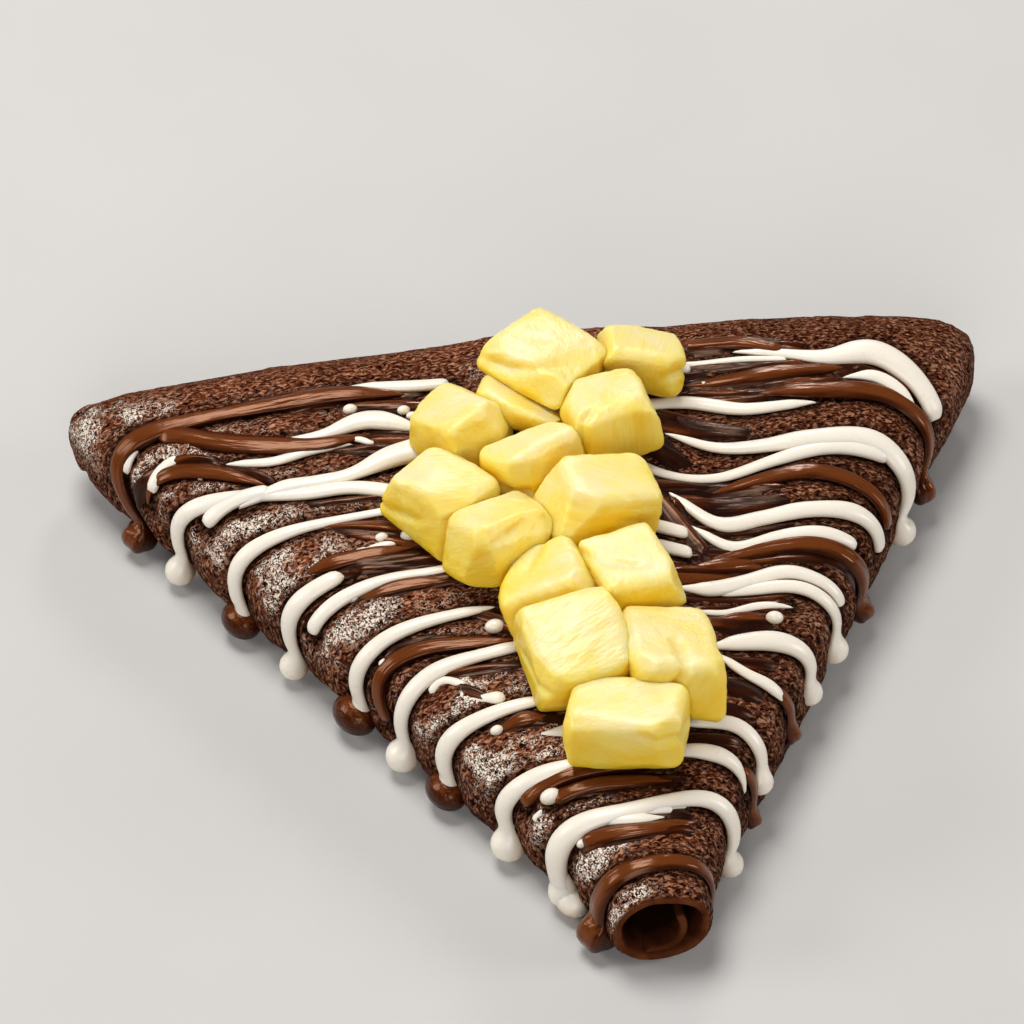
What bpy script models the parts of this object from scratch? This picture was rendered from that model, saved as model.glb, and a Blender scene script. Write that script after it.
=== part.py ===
"""Chocolate crepe folded to a wedge, with two drizzles and pineapple pieces. +Z up.

Everything is worked out in millimetres and scaled to metres as each mesh is made.
x runs across the crepe and y along it, from the rolled tip at 0 to the folded back.
"""

import math

import bmesh
import bpy
import numpy as np
from mathutils import Matrix

# The folded crepe
WIDTH = 181.0
LENGTH = 135.0
BACK_HEIGHT = 27.6
TIP_HEIGHT = 16.5
TIP_RADIUS = 8.2
TUBE_LENGTH = 7.6
FLARE = 5.0
BELLY = 0.42
TIP_BELLY = 0.50
TIP_SQUARE = 2.2
BACK_SQUARE = 3.0
CORNER = 18.0
CORNER_LEFT = 0.60
CORNER_RIGHT = 0.95
BOW_LEFT = -0.9
BOW_RIGHT = 2.8
RIDGE = 2.4
VALLEY = 1.6
LAYER_CREASE = 0.9

# The rolled tip
WALL = 1.7
LIP = 0.5
HOLLOW_DEPTH = 26.0
CURL_WALL = 1.5
CURL_FROM, CURL_TO = -115.0, 38.0

# How the surfaces are divided
AROUND = 46
STATIONS = 24
ROPE_STEP = 6.0
GAP = 0.3

# Drizzle, as ropes that run over the crepe from its middle towards its feet. Each line holds
# where a rope starts and ends across (0 on top, -1 and 1 at the left and right foot), its
# distances along the crepe at even steps and its widths at even steps. The last value is the
# radius of the bead that hangs at its end with the height of its middle, or None.
WHITE_LEFT = (
    (-0.16, -0.33, (117, 118, 120), (2.6, 2.4, 1.4), None),
    (-0.23, -0.62, (106, 110.5, 109, 109, 111), (3.0, 4.0, 2.2, 1.8, 1.2), None),
    (-0.38, -0.62, (106, 106, 105, 107), (1.4, 2.0, 1.9, 1.2), None),
    (-0.20, -0.66, (102, 101, 98.5, 98.5, 97), (6.0, 4.8, 2.8, 3.2, 3.2), None),
    (-0.32, -0.86, (91, 95.5, 96.5, 99, 101, 100.5), (3.4, 2.8, 2.6, 3.2, 3.0), (2.9, 3.4)),
    (-0.58, -0.74, (98.5, 98.5, 97), (2.8, 3.2), None),
    (-0.32, -0.86, (89, 89, 89, 88, 86), (1.8, 1.7, 2.3, 3.4, 3.2), (3.0, 3.5)),
    (-0.57, -0.86, (77, 76, 75, 74), (3.0, 3.6, 3.0), (2.8, 3.3)),
    (-0.22, -0.74, (75, 74, 74, 72.5, 70.5), (1.6, 1.9, 2.6, 2.9), None),
    (-0.27, -0.86, (64, 63.5, 62.5, 60.5, 59.5), (1.8, 2.3, 2.9, 3.2, 3.0), (3.4, 3.9)),
    (-0.18, -0.86, (54.5, 54, 53, 50.5, 49.5), (2.2, 2.4, 3.1, 3.2, 3.0), (3.2, 3.7)),
    (-0.20, -0.86, (42, 42, 41.5, 41, 40), (1.9, 2.4, 3.0, 3.6, 3.2), (3.1, 3.6)),
    (-0.10, -0.86, (28, 28, 28, 28, 26.5), (1.8, 2.7, 3.4, 3.6, 3.4), (3.3, 3.8)),
)
WHITE_RIGHT = (
    (0.35, 0.77, (119, 117.5, 116, 117, 113, 106.5), (1.4, 2.0, 3.4, 5.4, 4.8, 4.2), None),
    (0.24, 0.45, (117.5, 117, 116), (1.2, 1.3, 1.2), None),
    (0.14, 0.52, (105.5, 107.5, 104.5, 105.5), (2.4, 2.8, 2.7, 1.6), None),
    (0.56, 0.74, (110, 110, 107, 102), (1.6, 2.8, 3.4, 2.8), None),
    (0.22, 0.86, (100, 96.5, 95.5, 96.5, 97, 93, 90), (1.6, 2.4, 3.4, 4.6, 4.2, 3.4), (3.0, 5.3)),
    (0.09, 0.70, (95, 90, 89.5, 91.5, 93.5, 93), (2.2, 1.9, 2.0, 2.7, 3.2), None),
    (0.22, 0.79, (86, 78.5, 79, 80.5, 81, 79), (1.2, 3.0, 3.2, 3.2, 3.5, 3.0), None),
    (0.27, 0.70, (78, 73, 74.5, 75.5, 75), (1.2, 2.3, 2.4, 2.8, 3.0, 2.7), None),
    (0.22, 0.73, (63, 63, 65, 67, 66, 64), (1.8, 2.9, 2.9, 2.7, 2.5, 1.4), None),
    (0.32, 0.83, (62, 63.5, 64, 62, 60), (1.2, 2.3, 2.7, 2.6, 2.7), (2.8, 7.7)),
    (0.27, 0.58, (58, 58, 60, 60), (1.2, 1.4, 1.7, 1.2), None),
    (0.32, 0.76, (49.5, 51, 52, 51.5, 49.5), (1.8, 3.2, 4.0, 3.4, 3.0), (2.6, 8.7)),
    (0.34, 0.69, (49, 45, 43, 41), (1.2, 2.0, 2.4, 1.4), None),
    (0.17, 0.74, (34, 34, 34, 31.5, 29), (1.6, 2.2, 3.0, 3.1, 2.8), (2.5, 9.6)),
    (0.06, 0.60, (26, 28, 28, 27, 24), (1.2, 2.4, 3.2, 1.8), None),
    (0.13, 0.27, (78, 75.5), (2.8, 2.7), None),
    (0.13, 0.28, (73, 71), (2.8, 2.7), None),
)
WHITE_HOOP = (
    -0.86, 0.86, (15.5, 16.5, 17, 17, 18, 19, 17.5, 17), (4.0, 3.8, 3.1, 2.7, 3.5, 3.1), (2.6, 3.1)
)
MILK_ROPES = (
    (-0.24, -0.88, (116, 118, 118, 118, 117, 110), (3.2, 4.4, 3.6, 4.8, 3.4), (3.3, 3.8)),
    (-0.58, -0.80, (100, 106, 109, 108), (2.4, 3.4, 2.4), None),
    (-0.26, -0.80, (56, 57, 58, 57, 53), (2.2, 3.2, 2.8), None),
    (0.17, -0.56, (26, 26.5, 26.5, 25.5), (2.6, 3.2, 3.0), None),
    (0.19, -0.42, (22.5, 23, 23.5, 23), (2.4, 2.8, 2.6), None),
    (0.26, 0.57, (112, 112, 113, 114), (2.0, 3.2, 2.6), None),
    (0.40, 0.88, (108, 108, 108, 104, 99), (2.8, 3.8, 3.4, 2.9), (2.9, 6.2)),
    (0.32, 0.78, (86, 88, 89, 87, 83), (2.0, 3.2, 2.8), None),
    (0.32, 0.86, (70, 72, 73, 72, 72), (2.2, 3.6, 4.2), (2.7, 4.7)),
    (0.56, 0.80, (43, 42, 41.5), (2.4, 2.9), (2.3, 7.5)),
    (0.52, 0.86, (27, 26.5, 26), (2.2, 2.7), (2.1, 4.0)),
)
MILK_HOOP = (-0.88, 0.80, (5, 5.5, 6, 6.2, 6, 5), (4.2, 3.4, 2.9, 2.6, 2.2), None)
WHITE_LEFT_BEAD, MILK_LEFT_BEAD = (2.9, 3.4), (3.2, 3.4)
# A rope's height over its width
WHITE_HEIGHT, MILK_HEIGHT = 0.52, 0.42

# Pineapple pieces: x, along, lift off the crepe, size across, size along, height, then
# yaw, pitch and roll in degrees, the top's share of the foot and the top's lean both ways
PINEAPPLE = (
    (-0.3, 31.0, 1.4, 19.5, 17.0, 11.0, -22, 0, -4, 0.90, 0.5, -0.4),
    (9.5, 40.0, 1.8, 15.0, 17.5, 10.5, 0, -12, 13, 1.00, -1.4, 1.0),
    (-6.5, 44.5, 1.6, 17.5, 18.5, 12.0, 8, 16, -8, 0.96, 1.0, -1.0),
    (6.0, 60.5, 1.0, 15.0, 16.0, 10.0, 10, -5, 2, 0.98, -1.5, -0.4),
    (-8.0, 61.0, 1.0, 15.0, 15.5, 9.0, -10, -14, -24, 0.96, 0.0, -0.6),
    (-14.0, 71.5, 1.0, 16.5, 15.0, 11.0, 30, -14, 13, 0.98, 0.3, -0.4),
    (3.5, 77.5, 0.8, 20.0, 15.0, 11.0, 12, 2, 15, 0.76, 0.8, 0.0),
    (-22.5, 85.5, 0.8, 16.0, 17.0, 11.0, 37, 6, 3, 0.84, 0.0, -0.6),
    (-5.0, 89.5, 1.0, 18.5, 12.0, 9.5, 38, -16, 5, 0.90, -1.4, 0.5),
    (9.0, 97.0, 1.5, 15.5, 14.0, 10.0, 11, -10, 0, 0.90, -0.3, 0.5),
    (-16.0, 101.0, 1.0, 17.0, 16.0, 11.0, 33, -14, -3, 0.76, -0.6, 0.4),
    (-4.5, 104.0, 1.2, 15.0, 12.0, 8.5, -16, -22, 13, 0.96, -0.6, 0.3),
    (17.5, 114.0, 1.0, 17.0, 12.5, 8.0, -9, -16, 12, 0.98, -1.2, -1.0),
    (-0.5, 114.0, 0.8, 19.5, 19.5, 9.5, 44, 0, 13, 0.75, 0.0, -1.2),
)
PIECE_UNEVEN = 0.5
PIECE_ROUND = 1.7
SEED = 7


def blend(low, high, amount):
    return low + (high - low) * np.clip(amount, 0.0, 1.0)


def bend(values, amount):
    """Smooth curve through evenly spaced values, read at a fraction from 0 to 1."""
    values = np.asarray(values, float)
    at = np.clip(amount, 0.0, 1.0) * (len(values) - 1)
    first = np.minimum(at.astype(int), len(values) - 2)
    part = at - first
    padded = np.concatenate([[2 * values[0] - values[1]], values, [2 * values[-1] - values[-2]]])
    a, b, c, d = (padded[first + k] for k in range(4))
    turn = (c - a) * part + (2 * a - 5 * b + 4 * c - d) * part**2 + (3 * b - a - 3 * c + d) * part**3
    return b + turn / 2


def flare(distance):
    return (distance + np.sqrt(distance**2 + FLARE**2)) / 2


def half_width(along):
    widening = flare(along - TUBE_LENGTH) / flare(LENGTH - TUBE_LENGTH)
    return TIP_RADIUS + (WIDTH / 2 - TIP_RADIUS) * widening


def skin(along, angle):
    """Points of the crepe's outside; the angle is 0 on top and positive to the right."""
    squareness = 2.0 / blend(TIP_SQUARE, BACK_SQUARE, along / 45.0)
    sine, cosine = np.sin(angle), np.cos(angle)
    u = np.sign(sine) * np.abs(sine) ** squareness
    v = np.sign(cosine) * np.abs(cosine) ** squareness
    closing = np.clip((along - LENGTH + CORNER) / CORNER, 0.0, 1.0)
    open_part = np.sqrt(1.0 - closing**2.5)
    height = TIP_HEIGHT + (BACK_HEIGHT - TIP_HEIGHT) * np.clip(along / LENGTH, 0, 1) ** 0.68
    corner = CORNER * np.where(u < 0, CORNER_LEFT, CORNER_RIGHT)
    x = (half_width(along) - corner * (1.0 - open_part)) * u
    belly = blend(TIP_BELLY, BELLY, along / 30.0)
    z = height * (belly + (1.0 - belly) * (0.08 + 0.92 * open_part) * v)
    middle = RIDGE * np.exp(-(((x - 1.0) / 13.0) ** 2)) - VALLEY * np.exp(-(((x - 28.0) / 9.0) ** 2))
    z = z + middle * np.clip((along - 22.0) / 40.0, 0, 1) * np.clip(v, 0, 1) ** 2 * open_part
    bow = np.where(u < 0, BOW_LEFT, BOW_RIGHT)
    y = along - bow * along / LENGTH * u**2 - 0.7 * along / LENGTH * u
    crease = np.exp(-(((z - 0.30 * height) / 1.3) ** 2)) + np.exp(-(((z - 0.62 * height) / 1.3) ** 2))
    y = y - LAYER_CREASE * crease * np.clip(2.0 * closing - 0.7, 0, 1)
    return np.stack([x, y, np.maximum(z, 0.0)], axis=-1)


def over_top(along):
    """The section from the left foot over the top to the right foot, finely divided."""
    points = skin(along, np.linspace(-math.pi, math.pi, 961))
    raised = np.flatnonzero(points[:, 2] > 0.02)
    return points[raised[0] : raised[-1] + 1]


def on_skin(across, along):
    """The point a given fraction of the way from the top's middle down to a foot."""
    points = over_top(along)
    upper = points[:, 2] > points[:, 2].max() * 0.5
    top = int(np.argmin(np.abs(points[:, 0]) + np.where(upper, 0.0, 1e3)))
    run = np.concatenate([[0.0], np.cumsum(np.linalg.norm(np.diff(points, axis=0), axis=1))])
    reach = run[top] if across < 0 else run[-1] - run[top]
    return np.array([np.interp(run[top] + across * reach, run, points[:, k]) for k in range(3)])


def outward(across, along):
    side = on_skin(min(across + 0.01, 0.99), along) - on_skin(max(across - 0.01, -0.99), along)
    back = on_skin(across, along + 0.8) - on_skin(across, along - 0.8)
    normal = np.cross(side, back)
    return normal / np.linalg.norm(normal)


def new_material(name, colour, roughness):
    material = bpy.data.materials.new(name)
    material.use_nodes = True
    shader = material.node_tree.nodes["Principled BSDF"]
    shader.inputs["Base Color"].default_value = (*colour, 1.0)
    shader.inputs["Roughness"].default_value = roughness
    shader.inputs["Metallic"].default_value = 0.0
    return material


def new_object(name, points, faces, material, collection=None):
    mesh = bpy.data.meshes.new(name)
    mesh.from_pydata([tuple(p) for p in np.asarray(points) * 0.001], [], faces)
    mesh.materials.append(material)
    shape = bmesh.new()
    shape.from_mesh(mesh)
    bmesh.ops.recalc_face_normals(shape, faces=shape.faces)
    if shape.calc_volume(signed=True) < 0:
        bmesh.ops.reverse_faces(shape, faces=shape.faces)
    shape.to_mesh(mesh)
    shape.free()
    obj = bpy.data.objects.new(name, mesh)
    (collection or bpy.context.scene.collection).objects.link(obj)
    return obj


def lofted(rings):
    """Faces of a closed tube through rings of equal length, with a cap at each end."""
    count = len(rings[0])
    faces = []
    for row in range(len(rings) - 1):
        for i in range(count):
            j = (i + 1) % count
            first, second = row * count, (row + 1) * count
            faces.append((first + i, first + j, second + j, second + i))
    faces.append(tuple(range(count))[::-1])
    faces.append(tuple(range((len(rings) - 1) * count, len(rings) * count)))
    return faces


def even_angles(along, count):
    """Angles that divide the section at this place evenly, round its corners too."""
    fine = np.linspace(-math.pi, math.pi, 721)
    points = skin(along, fine)
    steps = np.linalg.norm(np.diff(points, axis=0), axis=1) + 0.02
    run = np.concatenate([[0.0], np.cumsum(steps)])
    return np.interp(np.linspace(0, run[-1], count, endpoint=False), run, fine)


def crepe_body(material):
    angles = even_angles(60.0, AROUND)
    front = skin(0.0, angles)
    centre = np.array([0.0, 0.0, front[:, 2].mean()])
    spread = np.linalg.norm(front - centre, axis=1, keepdims=True)
    outward_way = (front - centre) / spread
    rings = []
    for depth, share in ((HOLLOW_DEPTH, 0.45), (18.0, 0.68), (8.0, 0.9), (LIP, 1.0)):
        rings.append(centre + (front - centre - WALL * outward_way) * share + [0, depth, 0])
    rings.append(front - (WALL - LIP) * outward_way)
    rings.append(front - LIP * outward_way)
    stations = LENGTH * np.linspace(0.0, 1.0, STATIONS) ** 1.15
    stations = stations[stations < LENGTH - CORNER]
    closing = LENGTH - CORNER * (1.0 - np.sin(np.linspace(0.08, 1.0, 8) * math.pi / 2))
    for along in [LIP, 3.0, *stations[1:], *closing]:
        rings.append(skin(along, angles))
    return new_object("crepe", np.concatenate(rings), lofted(rings), material)


def curl(material, collection):
    """The end of the roll that stands free inside the hollow tip."""
    rings = []
    centre_z = TIP_HEIGHT / 2
    for depth in (0.6, 6.0, 13.0, 21.0):
        outer, inner = [], []
        for step in np.linspace(0, 1, 8):
            turn = math.radians(CURL_FROM + (CURL_TO - CURL_FROM) * step)
            radius = bend((7.0, 6.5, 5.4, 4.5, 4.3), np.array([step]))[0]
            way = np.array([math.cos(turn), 0.0, math.sin(turn)])
            outer.append(way * radius + [0, depth, centre_z])
            inner.append(way * (radius - CURL_WALL) + [0, depth, centre_z])
        rings.append(np.array(outer + inner[::-1]))
    return new_object("curl", np.concatenate(rings), lofted(rings), material, collection)


def rope_path(start, end, distances):
    """Evenly spaced points on the skin, their outward ways and their shares of the way."""
    fine = np.linspace(0.0, 1.0, 41)
    alongs = bend(distances, fine)
    acrosses = start + (end - start) * fine
    places = np.array([on_skin(a, b) for a, b in zip(acrosses, alongs)])
    run = np.concatenate([[0.0], np.cumsum(np.linalg.norm(np.diff(places, axis=0), axis=1))])
    count = max(3, round(run[-1] / ROPE_STEP) + 1)
    parts = np.interp(np.linspace(0, run[-1], count), run, fine)
    points, ways = [], []
    for part, along in zip(parts, bend(distances, parts)):
        across = start + (end - start) * part
        points.append(on_skin(across, along))
        ways.append(outward(across, along))
    return points, ways, list(parts)


def bead_centre(end, along, bead):
    """A bead hangs beside the crepe's widest line."""
    radius, height = bead
    side = math.copysign(1.0, end)
    points = over_top(along)
    widest = points[np.argmax(points[:, 0] * side)]
    return np.array([widest[0] + side * radius * 0.2, widest[1], height])


def rope(name, line, rise, material, collection):
    start, end, distances, widths, bead = line
    points, ways, parts = rope_path(start, end, distances)
    if bead:
        points.append(bead_centre(end, distances[-1], bead))
        ways.append(np.array([math.copysign(1.0, end), 0.0, 0.0]))
        parts.append(1.0)
    widths = bend(widths, np.array(parts))
    rings = []
    for i, (point, way) in enumerate(zip(points, ways)):
        ahead = points[min(i + 1, len(points) - 1)] - points[max(i - 1, 0)]
        across = np.cross(ahead, way)
        across /= np.linalg.norm(across)
        full = 1.0
        if i == 0 or (i == len(points) - 1 and not bead):
            full = 0.45
        half, top = widths[i] / 2 * full, rise * widths[i] * (0.5 + 0.5 * full)
        if bead and i == len(points) - 1:
            half, top = 0.6 * bead[0], 0.5 * bead[0]
        sunk = -1.0 if i < len(points) - 1 or not bead else -1.7
        profile = ((-0.8, sunk), (-1.0, 0.45), (-0.5, 1.0), (0.5, 1.0), (1.0, 0.45), (0.8, sunk))
        rings.append([point + across * half * a + way * (b * top if b > 0 else b) for a, b in profile])
    return new_object(name, np.concatenate(rings), lofted(rings), material, collection)


def left_end(hoop, bead):
    """The short line that carries a hoop's left end down to a bead of its own."""
    start, along, width = hoop[0], hoop[2][0], hoop[3][0]
    return (start + 0.06, start, (along, along), (width, width), bead)


def bead_object(name, line, material, collection):
    end, distances, radius = line[1], line[2], line[4][0]
    centre = bead_centre(end, distances[-1], line[4])
    side = math.copysign(1.0, end)
    turns = np.linspace(0, 2 * math.pi, 8, endpoint=False) + 0.2
    reach = np.where(np.cos(turns) * side < 0, 1.5, 1.0)
    rings = []
    for tilt in (-72, -36, 0, 36, 72):
        ring = radius * math.cos(math.radians(tilt))
        level = np.full(8, radius * math.sin(math.radians(tilt)) * 1.02)
        x, y = ring * np.cos(turns) * reach, ring * np.sin(turns)
        rings.append(centre + np.stack([x, y, level], axis=1))
    return new_object(name, np.concatenate(rings), lofted(rings), material, collection)


def turned(points, yaw, pitch, roll):
    for angle, axis in ((roll, 1), (pitch, 0), (yaw, 2)):
        c, s = math.cos(math.radians(angle)), math.sin(math.radians(angle))
        first, second = [(1, 2), (2, 0), (0, 1)][axis]
        a, b = points[:, first].copy(), points[:, second].copy()
        points[:, first], points[:, second] = c * a - s * b, s * a + c * b
    return points


def hull_planes(points):
    """Face planes and edge ways of the convex shape round the points."""
    shape = bmesh.new()
    for point in points:
        shape.verts.new(point)
    bmesh.ops.convex_hull(shape, input=shape.verts)
    normals = [np.array(face.normal) for face in shape.faces]
    edges = [np.array(edge.verts[1].co - edge.verts[0].co) for edge in shape.edges]
    shape.free()
    return normals, edges


def clipped(points, way, limit):
    """The convex shape's points with all beyond the plane (way . p > limit) cut away."""
    shape = bmesh.new()
    for point in points:
        shape.verts.new(point)
    bmesh.ops.convex_hull(shape, input=shape.verts)
    loose = [v for v in shape.verts if not v.link_faces]
    bmesh.ops.delete(shape, geom=loose, context="VERTS")
    whole = shape.verts[:] + shape.edges[:] + shape.faces[:]
    bmesh.ops.bisect_plane(
        shape, geom=whole, dist=1e-4, plane_co=way * limit, plane_no=way, clear_outer=True
    )
    kept = np.array([tuple(v.co) for v in shape.verts])
    shape.free()
    return kept


def part_ways(first, second):
    """Both convex shapes cut back by a plane between them, if they meet."""
    normals_a, edges_a = hull_planes(first)
    normals_b, edges_b = hull_planes(second)
    ways = normals_a + [-n for n in normals_b]
    for a in edges_a:
        for b in edges_b:
            cross = np.cross(a, b)
            if np.linalg.norm(cross) > 1e-3:
                ways += [cross, -cross]
    best = None
    for way in ways:
        way = way / np.linalg.norm(way)
        depth = (first @ way).max() - (second @ way).min()
        if best is None or depth < best[0]:
            best = (depth, way)
    depth, way = best
    if depth < -GAP:
        return first, second
    middle = ((first @ way).max() + (second @ way).min()) / 2
    return clipped(first, way, middle - GAP / 2), clipped(second, -way, -middle - GAP / 2)


def skin_height(x, y):
    """Height of the crepe's top above the ground at a place."""
    points = over_top(min(max(y, 2.0), LENGTH - CORNER))
    upper = points[points[:, 2] > points[:, 2].max() * 0.45]
    return float(np.interp(x, upper[:, 0], upper[:, 2]))


def rest_plane(x, y):
    """Unit normal of the crepe's top round a place."""
    slope_x = (skin_height(x + 5, y) - skin_height(x - 5, y)) / 10
    slope_y = (skin_height(x, y + 5) - skin_height(x, y - 5)) / 10
    normal = np.array([-slope_x, -slope_y, 1.0])
    return normal / np.linalg.norm(normal)


def pineapple_blocks():
    """Uneven blocks resting on the crepe, none of them meeting another or the crepe."""
    draw = np.random.default_rng(SEED)
    signs = ((-1, -1), (1, -1), (1, 1), (-1, 1))
    blocks = []
    for x, along, lift, wide, deep, high, yaw, pitch, roll, taper, lean_x, lean_y in PINEAPPLE:
        foot = np.array([(a * wide / 2, b * deep / 2, -high / 2) for a, b in signs])
        top = foot * (taper, taper, -1) + (lean_x, lean_y, 0)
        points = np.concatenate([foot, top]) + draw.uniform(-PIECE_UNEVEN, PIECE_UNEVEN, (8, 3))
        points = turned(points, yaw, pitch, roll)
        points = points + (x, along, skin_height(x, along) + lift + high / 2)
        way = rest_plane(x, along)
        limit = way @ np.array([x, along, skin_height(x, along)])
        rise = 0.6
        while True:
            block = clipped(points, -way, -(limit + rise))
            if min(p[2] - skin_height(p[0], p[1]) for p in block) > 0.55:
                break
            rise += 0.15
        blocks.append(block)
    for i in range(len(blocks)):
        for j in range(i + 1, len(blocks)):
            blocks[i], blocks[j] = part_ways(blocks[i], blocks[j])
    return blocks


def rounded(points, radius):
    """The convex shape with its corners and edges rounded, never outside its first form."""
    normals, _ = hull_planes(points)
    core = points
    for normal in normals:
        core = clipped(core, normal, (points @ normal).max() - radius)
    steps = (-1, 0, 1)
    ball = np.array([(a, b, c) for a in steps for b in steps for c in steps if a or b or c], float)
    ball = turned(ball / np.linalg.norm(ball, axis=1, keepdims=True), 31, 17, 11)
    return (core[:, None, :] + radius * ball[None, :, :]).reshape(-1, 3)


def convex_object(name, points, material, collection=None):
    shape = bmesh.new()
    for point in points:
        shape.verts.new(point * 0.001)
    bmesh.ops.convex_hull(shape, input=shape.verts)
    bmesh.ops.delete(shape, geom=[v for v in shape.verts if not v.link_faces], context="VERTS")
    bmesh.ops.recalc_face_normals(shape, faces=shape.faces)
    mesh = bpy.data.meshes.new(name)
    shape.to_mesh(mesh)
    shape.free()
    mesh.materials.append(material)
    obj = bpy.data.objects.new(name, mesh)
    (collection or bpy.context.scene.collection).objects.link(obj)
    return obj


def combine(target, collection, operation):
    """Applies one Boolean of the whole collection to the target and clears the collection."""
    modifier = target.modifiers.new(operation.title(), "BOOLEAN")
    modifier.operation = operation
    modifier.operand_type = "COLLECTION"
    modifier.collection = collection
    modifier.solver = "EXACT"
    bpy.context.view_layer.update()
    graph = bpy.context.evaluated_depsgraph_get()
    mesh = bpy.data.meshes.new_from_object(target.evaluated_get(graph))
    target.modifiers.clear()
    old, target.data = target.data, mesh
    bpy.data.meshes.remove(old)
    for obj in list(collection.objects):
        bpy.data.objects.remove(obj)
    bpy.data.collections.remove(collection)


def drop_scraps(target):
    """Keeps the largest connected piece of the mesh."""
    shape = bmesh.new()
    shape.from_mesh(target.data)
    bmesh.ops.remove_doubles(shape, verts=shape.verts, dist=2e-6)
    shape.verts.ensure_lookup_table()
    islands, seen = [], set()
    for vert in shape.verts:
        if vert in seen:
            continue
        stack, island = [vert], []
        seen.add(vert)
        while stack:
            here = stack.pop()
            island.append(here)
            for edge in here.link_edges:
                other = edge.other_vert(here)
                if other not in seen:
                    seen.add(other)
                    stack.append(other)
        islands.append(island)
    islands.sort(key=len, reverse=True)
    for island in islands[1:]:
        bmesh.ops.delete(shape, geom=island, context="VERTS")
    shape.to_mesh(target.data)
    shape.free()


def working_collection(name):
    collection = bpy.data.collections.new(name)
    bpy.context.scene.collection.children.link(collection)
    return collection


def origin_to_base(objects):
    """Moves everything so that the origin is at the middle of the bounding box's base."""
    corners = np.array([tuple(v.co) for obj in objects for v in obj.data.vertices])
    middle = (corners.min(axis=0) + corners.max(axis=0)) / 2
    for obj in objects:
        obj.data.transform(Matrix.Translation((-middle[0], -middle[1], 0.0)))


def main():
    for obj in list(bpy.data.objects):
        bpy.data.objects.remove(obj)
    brown = new_material("crepe", (0.055, 0.018, 0.008), 0.7)
    yellow = new_material("pineapple", (0.93, 0.68, 0.12), 0.45)
    crepe = crepe_body(brown)
    added = working_collection("drizzle")
    curl(brown, added)
    whites = [*WHITE_LEFT, *WHITE_RIGHT, WHITE_HOOP, left_end(WHITE_HOOP, WHITE_LEFT_BEAD)]
    milks = [*MILK_ROPES, MILK_HOOP, left_end(MILK_HOOP, MILK_LEFT_BEAD)]
    for kind, lines, rise in (("white", whites, WHITE_HEIGHT), ("milk", milks, MILK_HEIGHT)):
        for number, line in enumerate(lines):
            rope(f"{kind}_rope_{number}", line, rise, brown, added)
            if line[4]:
                bead_object(f"{kind}_bead_{number}", line, brown, added)
    combine(crepe, added, "UNION")
    blocks = pineapple_blocks()
    cutters = working_collection("clearance")
    for number, block in enumerate(blocks):
        middle = block.mean(axis=0)
        reach = np.linalg.norm(block - middle, axis=1).mean()
        larger = middle + (block - middle) * (1 + 1.6 * GAP / reach)
        convex_object(f"clear_{number}", larger, yellow, cutters)
    combine(crepe, cutters, "DIFFERENCE")
    drop_scraps(crepe)
    pieces = [
        convex_object(f"pineapple_{number + 1:02d}", rounded(block, PIECE_ROUND), yellow)
        for number, block in enumerate(blocks)
    ]
    for obj in (crepe, *pieces):
        obj.data.shade_smooth()
        obj.data.set_sharp_from_angle(angle=math.radians(40))
    origin_to_base([crepe, *pieces])


main()
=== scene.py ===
import itertools
import math

import bmesh
import bpy
import numpy as np
from mathutils import Matrix, Vector


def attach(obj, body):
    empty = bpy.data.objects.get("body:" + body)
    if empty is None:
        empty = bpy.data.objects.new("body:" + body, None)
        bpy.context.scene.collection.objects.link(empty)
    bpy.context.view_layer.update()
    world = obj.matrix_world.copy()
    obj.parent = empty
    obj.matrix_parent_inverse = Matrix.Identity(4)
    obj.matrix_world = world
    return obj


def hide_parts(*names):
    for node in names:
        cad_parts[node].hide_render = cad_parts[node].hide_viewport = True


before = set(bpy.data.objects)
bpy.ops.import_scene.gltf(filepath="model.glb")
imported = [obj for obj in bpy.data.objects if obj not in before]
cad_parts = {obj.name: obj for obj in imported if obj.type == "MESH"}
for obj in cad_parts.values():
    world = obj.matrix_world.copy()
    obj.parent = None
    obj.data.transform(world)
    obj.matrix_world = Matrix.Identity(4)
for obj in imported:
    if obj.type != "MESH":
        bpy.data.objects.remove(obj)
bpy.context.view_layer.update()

# Sizes are in millimetres until a mesh is made. x runs across the crepe and y along it,
# from the rolled tip at 0 to the folded back, and SHIFT moves both into the frame.
SHIFT = np.array([0.664, -68.297, 0.0])

# The folded crepe, as in the solids
WIDTH = 181.0
LENGTH = 135.0
BACK_HEIGHT = 27.6
TIP_HEIGHT = 16.5
TIP_RADIUS = 8.2
TUBE_LENGTH = 7.6
FLARE = 5.0
BELLY = 0.42
TIP_BELLY = 0.50
TIP_SQUARE = 2.2
BACK_SQUARE = 3.0
CORNER = 18.0
CORNER_LEFT = 0.60
CORNER_RIGHT = 0.95
BOW_LEFT = -0.9
BOW_RIGHT = 2.8
SQUARE_FROM = 45.0
RISE = 0.68
EDGE_HEIGHT = 0.08
RIDGE, RIDGE_AT, RIDGE_WIDTH = 2.4, 1.0, 13.0
VALLEY, VALLEY_AT, VALLEY_WIDTH = 1.6, 28.0, 9.0
MIDDLE_FROM, MIDDLE_LENGTH = 22.0, 40.0
SKEW = 0.7
LAYER_CREASE, CREASE_HEIGHTS, CREASE_WIDTH = 0.9, (0.30, 0.62), 1.3
WALL = 1.7
# The hollow of the tip narrows inward: how far in, and the share of its width there
HOLLOW_DEPTHS, HOLLOW_SHARES = (0.5, 8.0, 18.0, 26.0), (1.0, 0.9, 0.68, 0.45)
# The end of the roll, from one angle to the other in degrees, and its distances from the middle
CURL_WALL = 1.5
CURL_FROM, CURL_TO = -115.0, 38.0
CURL_RADII = (7.0, 6.5, 5.4, 4.5, 4.3)
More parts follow.
